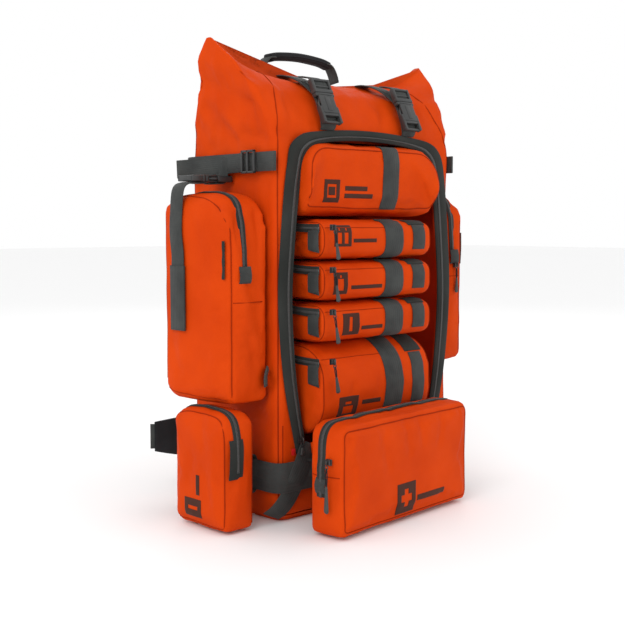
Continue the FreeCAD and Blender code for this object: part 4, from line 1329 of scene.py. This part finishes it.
def finish_belt_pouch(pouch):
    crumple(pouch, 1.2 * MM, 0.05, 61)
    for y, z, lean in ((-50, 110, 8), (-20, 60, -6), (-60, 40, 6)):
        groove(pouch, [(-260, y, z), (-260, y + lean, z + 34)], 2.2, 8)
    edge = [(-255, 8, 8), (-255, -78, 7), (-255, -87, 16), (-255, -89, 60), (-255, -89, 110),
            (-255, -86, 134), (-254, -72, 150), (-254, -20, 154), (-254, 8, 148)]
    press(pouch, [smooth_line(mm(edge), 6 * MM)], 1.2 * MM, 3 * MM)
    tree = surface(pouch)
    seams = [seam_on(tree, "belt_pouch_seam", edge),
             seam_on(tree, "belt_pouch_seam", [(-208, -88, z) for z in range(10, 140, 16)])]
    settle(join("belt_pouch_seams", seams), "belt_pouch")
    parts = [zip_over("belt_pouch_zip", tree, (-237, -36, 92), -12, 192, 50, 12)[0]]
    panel = [(-238.5, -91.0, 122), (-238.5, -92.8, 110), (-239.5, -92.8, 84), (-239.5, -91.0, 72)]
    parts.append(strap("belt_pouch_tab", panel, (1, 0, 0), 22, 1.6, "tape", 3))
    for y in (-39.5, -1.5):
        loop = [(-204, y, 88), (-190, y, 88), (-173.2, y, 86), (-171.8, y, 62), (-173.2, y, 40),
                (-190, y, 37), (-204, y, 37)]
        parts.append(strap("belt_pouch_loop", loop, (0, 1, 0), 25, 1.3))
    settle(join("belt_pouch_straps", parts), "belt_pouch", "belt_pouch_trim")
    # The printed sign stands on end: its bar runs upwards.
    mark("belt_pouch_sign", tree, (-260, -12, 16), (0, -1, 0), (0, 0, 1), (1, 0, 0), (34, 24),
         "belt_pouch", (24, 30, 31, 56), ((0.22, 0.78, 0.38, 0.62),))
    settle(pouch, "belt_pouch", "belt_pouch")
    place = at(-237, 19.8, 100) @ turned(180, "Z")
    hang_slider("belt_pouch_zip_slider", place, 36, "belt_pouch_slider")


def place_buckle(name, width, place, x_axis, y_axis, z_axis, plug_body, plug_node, socket_body=None,
                 socket_node=None):
    socket, plug = buckle_forms(name, width)
    matrix = axes_at(Vector(place) * MM, Vector(x_axis), Vector(y_axis), Vector(z_axis))
    transform(socket, matrix)
    transform(plug, matrix)
    settle(plug, plug_body, plug_node)
    if socket_node:
        settle(socket, socket_body, socket_node)
    return socket


BELT_HEIGHT = 62


def make_belt():
    side, front = 174.3, -97.2
    left = [(-side, 84), (-side, 30), (-side, -40), (-side, -78), (-171.5, -90), (-164, -96),
            (-150, front), (-60, front)]
    path = left + [(-x, y) for x, y in reversed(left)]
    belt = strap("waist_belt", [(x, y, BELT_HEIGHT) for x, y in path], (0, 0, 1), 40, 2.2)
    settle(belt, "root", "waist_belt")
    place_buckle("belt_buckle", 40, (175.9, -5, BELT_HEIGHT), (0, 0, -1), (-1, 0, 0), (0, 1, 0),
                 "belt_buckle_plug", "belt_buckle_plug", "root", "belt_buckle_socket")
    parts = []
    for s in (-1, 1):
        run = [(s * 119, -97.4, 103), (s * 127, -97.4, 86), (s * 141, -98.0, 60), (s * 155, -94.8, 34),
               (s * 165, -89, 19), (s * 170, -78, 9)]
        parts.append(strap("base_strap", run, (0.9, 0, 0.42 * s), 30))
    settle(join("base_straps", parts), "root", "base_straps")


ROLL_STRAP_MIDDLE = 79


def make_top_straps():
    parts, sockets = [], []
    tilt = math.atan2(24, 50)
    for side, name in ((-1, "left"), (1, "right")):
        x = side * ROLL_STRAP_MIDDLE
        path = [(x, 96, 470), (x, 95, 505), (x, 88, 536), (x, 72, 564), (x, 48, 583), (x, 22, 593),
                (x, 4, 595.5), (x, -16, 594), (x, -40, 586), (x, -62, 573), (x, -76, 560), (x, -87, 536),
                (x, -90.5, 519)]
        parts.append(strap("roll_strap", path, (1, 0, 0)))
        stub = [(x, -88.5, 517), (x, -93, 523), (x, -92.5, 533), (x, -88.5, 541)]
        parts.append(strap("roll_stub", stub, (1, 0, 0), 25, 2.2))
        end = [(x, -72, 579), (x, -66.5, 585), (x, -56, 588.5), (x, -44, 590)]
        parts.append(strap("roll_tail", end, (1, 0, 0), 24))
        sockets.append(place_buckle("roll_buckle_" + name, 25, (x, -76.6, 562.3), (1, 0, 0),
                                    (0, math.cos(tilt), -math.sin(tilt)),
                                    (0, math.sin(tilt), math.cos(tilt)), "roll_plug_" + name,
                                    "roll_buckle_plug_" + name))
    settle(join("roll_straps", parts), "root", "roll_top_straps")
    settle(join("roll_sockets", sockets), "root", "roll_buckle_sockets")


def make_side_straps():
    parts, sockets = [], []
    for side, name, top in ((-1, "left", 433), (1, "right", 441)):
        middle = top + 39.5
        level = [(side * x, y, middle) for x,
                 y in ((172.6, -92), (174.6, -86), (174.6, 0), (174.6, 66), (174.6, 84), (171, 95))]
        parts.append(strap("compression", level, (0, 0, 1)))
        tail = [(side * x, y, middle + rise) for x, y,
                rise in ((176.8, -30, 0), (176.9, 6, -1), (179, 40, -2), (185, 72, -4), (193, 92, -5))]
        parts.append(strap("compression_tail", tail, (0, 0, 1)))
        hanger = [(side * 177, BUCKLE_Y, top + 47), (side * 177.4, BUCKLE_Y, top + 24),
                  (side * 178.6, BUCKLE_Y, top + 16), (side * 186, BUCKLE_Y, top + 13),
                  (side * 198, BUCKLE_Y, top + 13)]
        parts.append(strap("pocket_hanger", hanger, (0, 1, 0)))
        sockets.append(place_buckle("pocket_buckle_" + name, 25, (side * 216, BUCKLE_Y, top + 14.4),
                                    (0, -side, 0), (0, 0, -1), (side, 0, 0), name + "_pocket",
                                    "pocket_buckle_plug_" + name))
        low = top + 25
        plates = []
        for y in (-60, -47, -35.6):
            plates.append(((178.2, y, low), (181.6, y + 3.4, low + 30)))
        for z in (low, low + 27):
            plates.append(((178.2, -60, z), (181.6, -32.4, z + 3)))
        if side < 0:
            plates = [((-high[0], lo[1], lo[2]), (-lo[0], high[1], high[2])) for lo, high in plates]
        settle(bars("triglide_" + name, plates, "plastic", 0.9), "triglide_" + name, "triglide_" + name)
    settle(join("compression_straps", parts), "root", "compression_straps")
    settle(join("pocket_sockets", sockets), "root", "pocket_buckle_sockets")


def puffy_section(width, thick, count=26):
    """A padded cross-section: flat in the middle, full towards rounded edges."""
    section = []
    for a in np.linspace(0, 2 * math.pi, count, endpoint=False):
        x, y = math.cos(a), math.sin(a)
        section.append((math.copysign(abs(x) ** 0.55, x) * width / 2,
                        math.copysign(abs(y) ** 0.7, y) * thick / 2))
    return section


def make_handle():
    sleeve_line = smooth_line(mm([(-58, 56, 629), (-40, 56, 633), (0, 56, 635.5), (40, 56, 633),
                                  (58, 56, 629)]), 4 * MM)
    sleeve = sweep("handle_sleeve", sleeve_line, (0, 1, 0), np.array(puffy_section(17, 12)) * MM, "padded")
    ends = []
    for s in (-1, 1):
        ends.append(strap("handle_end",
                          [(s * 50, 56, 630.5), (s * 60, 56, 629), (s * 67, 56, 622), (s * 72, 56, 612),
                           (s * 73, 55, 604)], (0, 1, 0), 20, 2.4))
    binding = [tube("handle_rim",
                    mm([(-58, 56 + e, 628.5), (-40, 56 + e, 632.5), (0, 56 + e, 635), (40, 56 + e, 632.5),
                        (58, 56 + e, 628.5)]), 0.9 * MM, "padded") for e in (-8.4, 8.4)]
    settle(join("carry_handle", [sleeve] + ends + binding), "carry_handle", "carry_handle")


# The back pads and the shoulder straps stand this far off the middle. The sternum strap's height.
PAD_MIDDLE = 66
SHOULDER_MIDDLE = 69
STERNUM_HEIGHT = 365


def start_back_pads():
    pads = {}
    for side, name in ((-1, "back_pad_left"), (1, "back_pad_right")):
        middle = side * PAD_MIDDLE
        outline = box_outline(middle - 43, 129, middle + 43, 427, (18, 18, 18, 18))
        pads[name] = stuffed_form(name, "Y", outline, 0.0905, 0.1025, 4 * MM, "mesh")
    return pads


def make_back(pads):
    for number, (name, pad) in enumerate(pads.items()):
        middle = (-PAD_MIDDLE, PAD_MIDDLE)[number]
        for z in (190, 250, 310, 370):
            groove(pad, [(middle - 44, 107, z - 8), (middle, 107, z), (middle + 44, 107, z - 8)], 5, 5)
        outline = box_outline(middle - 41, 131, middle + 41, 425, (17, 17, 17, 17))
        rim = to_space("Y", outline, 0.099)
        tree = surface(pad)
        binding = seam_on(tree, name + "_binding", rim / MM, 1.5, closed=True, paint="padded")
        settle(binding, "root")
        settle(pad, "root", "back_pads")

    fins = []
    for s in (-1, 1):
        spine = smooth_line(mm([(s * 92, 103, 87), (s * 118, 105, 87), (s * 150, 114, 87),
                                (s * 180, 130, 87), (s * 200, 144, 87)]), 5 * MM)
        sections = []
        for k in range(len(spine)):
            t = k / (len(spine) - 1)
            tall = 66 * (1 - 0.35 * t ** 2.2)
            sections.append(np.array(puffy_section(tall, 12.5 * (0.9 + 0.1 * math.sin(k * 1.1)))) * MM)
        fin = sweep("hip_fin", spine, (0, 0, 1), np.array(sections), "padded")
        out = np.array([s * 0.55, 0.83, 0])
        band = sweep("hip_fin_band", spine + out * 6.6 * MM, (0, 0, 1), flat_section(36 * MM, 1.8 * MM),
                     "webbing")
        fins += [fin, band]
    fins = settle(join("hip_fins", fins), "root", "hip_fins")

    tails = []
    for s, name in ((-1, "left"), (1, "right")):
        x = s * SHOULDER_MIDDLE
        curve = smooth_line(mm([(x, 101, 460), (x, 118, 458), (x, 134, 444), (x, 147, 412),
                                (x, 152.5, 360), (x, 152.5, 300), (x, 147, 240), (x, 138, 195),
                                (x, 121, 153)]), 5 * MM)
        sections = []
        for k in range(len(curve)):
            t = k / (len(curve) - 1)
            wide = 61 * (1 - 0.22 * max(0, (t - 0.78) / 0.22) ** 2)
            sections.append(np.array(puffy_section(wide, 11.5 * (1 + 0.05 * math.sin(k * 0.9)))) * MM)
        pad = sweep("shoulder_pad", curve, (1, 0, 0), np.array(sections), "padded")
        lift = np.cross(np.gradient(curve, axis=0), (1, 0, 0))
        lift /= np.linalg.norm(lift, axis=1)[:, None]
        lift *= np.sign(lift[len(lift) // 2][1])
        web = sweep("shoulder_web", (curve + lift * 6.4 * MM)[4:-3], (1, 0, 0),
                    flat_section(25 * MM, 1.8 * MM), "webbing")
        rims = [sweep("shoulder_rim", curve + np.array([e * 30 * MM, 0, 0]), (1, 0, 0),
                      tube_section(2 * MM, 8), "padded") for e in (-1, 1)]
        piece = settle(join("shoulder_strap_" + name, [pad, web] + rims), "harness", "shoulder_strap_" + name)
        tails.append(strap("lower_webbing",
                           [(x, 95.5, 34), (x, 97, 52), (x, 103, 82), (x, 109, 108), (x, 112, 128),
                            (x, 116, 146)], (1, 0, 0)))
    tail = join("lower_webbing", tails)
    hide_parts("lower_strap_webbing")
    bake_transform(tail)

    parts = []
    for s in (-1, 1):
        x = s * SHOULDER_MIDDLE
        parts.append(bars("adjuster",
                          [((x - 17, 110, 124), (x - 13, 115, 146)),
                           ((x + 13, 110, 124), (x + 17, 115, 146)),
                           ((x - 14, 110.4, 124), (x + 14, 114.6, 128)),
                           ((x - 14, 111, 133), (x + 14, 114, 137)),
                           ((x - 14, 110.4, 142), (x + 14, 114.6, 146))], "plastic", 0.9))
    settle(join("strap_adjusters", parts), "harness", "strap_adjusters")
    level = [(-92, 159.8, STERNUM_HEIGHT), (-60, 160.2, STERNUM_HEIGHT), (0, 160, STERNUM_HEIGHT),
             (60, 160.2, STERNUM_HEIGHT), (92, 159.8, STERNUM_HEIGHT)]
    settle(strap("sternum_strap", level, (0, 0, 1), 20, 2), "harness", "sternum_strap")
    place_buckle("sternum_buckle", 20, (8, 161.4, STERNUM_HEIGHT), (0, 0, 1), (0, -1, 0), (1, 0, 0),
                 "sternum_plug", "sternum_buckle_plug", "harness", "sternum_buckle_socket")


def make_front_slider():
    place = at(-134.5, -96.8, 105)
    hang_slider("front_zip_slider", place, 17, "front_zip_slider")
    tab = bars("front_red_tab", [((-150, -97.6, 90), (-144, -95.8, 99))], "red", 0.6)
    settle(tab, "root")


# ---------------------------------------------------------------- the whole pack

make_stage()
make_skin()
make_front_band()
inner = start_inner_pouches()
pockets = start_pockets()
carried = start_belt_pouches()
pads = start_back_pads()
# Each soft piece with the furthest that it may swell, and where it is held against the bag.
jobs = [(piece, 3.0 * MM, lambda co: co[:, 1] > 4) for piece in inner.values()]
jobs += [(piece, 4.0 * MM, sewn_edges(name)) for name, piece in pockets.items()]
jobs += [(carried["belt_pouch"], 4.0 * MM, lambda co: co[:, 0] > -208)]
jobs += [(carried["first_aid_pouch"], 5.0 * MM, lambda co: co[:, 1] > 23)]
jobs += [(piece, 3.0 * MM, lambda co: co[:, 1] < 93) for piece in pads.values()]
soften(jobs)
finish_inner_pouches(inner)
finish_extra_pouch(inner["extra_storage_pouch"])
finish_pockets(pockets)
finish_aid_pouch(carried["first_aid_pouch"])
finish_belt_pouch(carried["belt_pouch"])
make_belt()
make_top_straps()
make_side_straps()
make_handle()
make_back(pads)
make_front_slider()

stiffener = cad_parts["frame_sheet"]
stiffener.data.materials.clear()
stiffener.data.materials.append(PAINTS["sheet"][0])
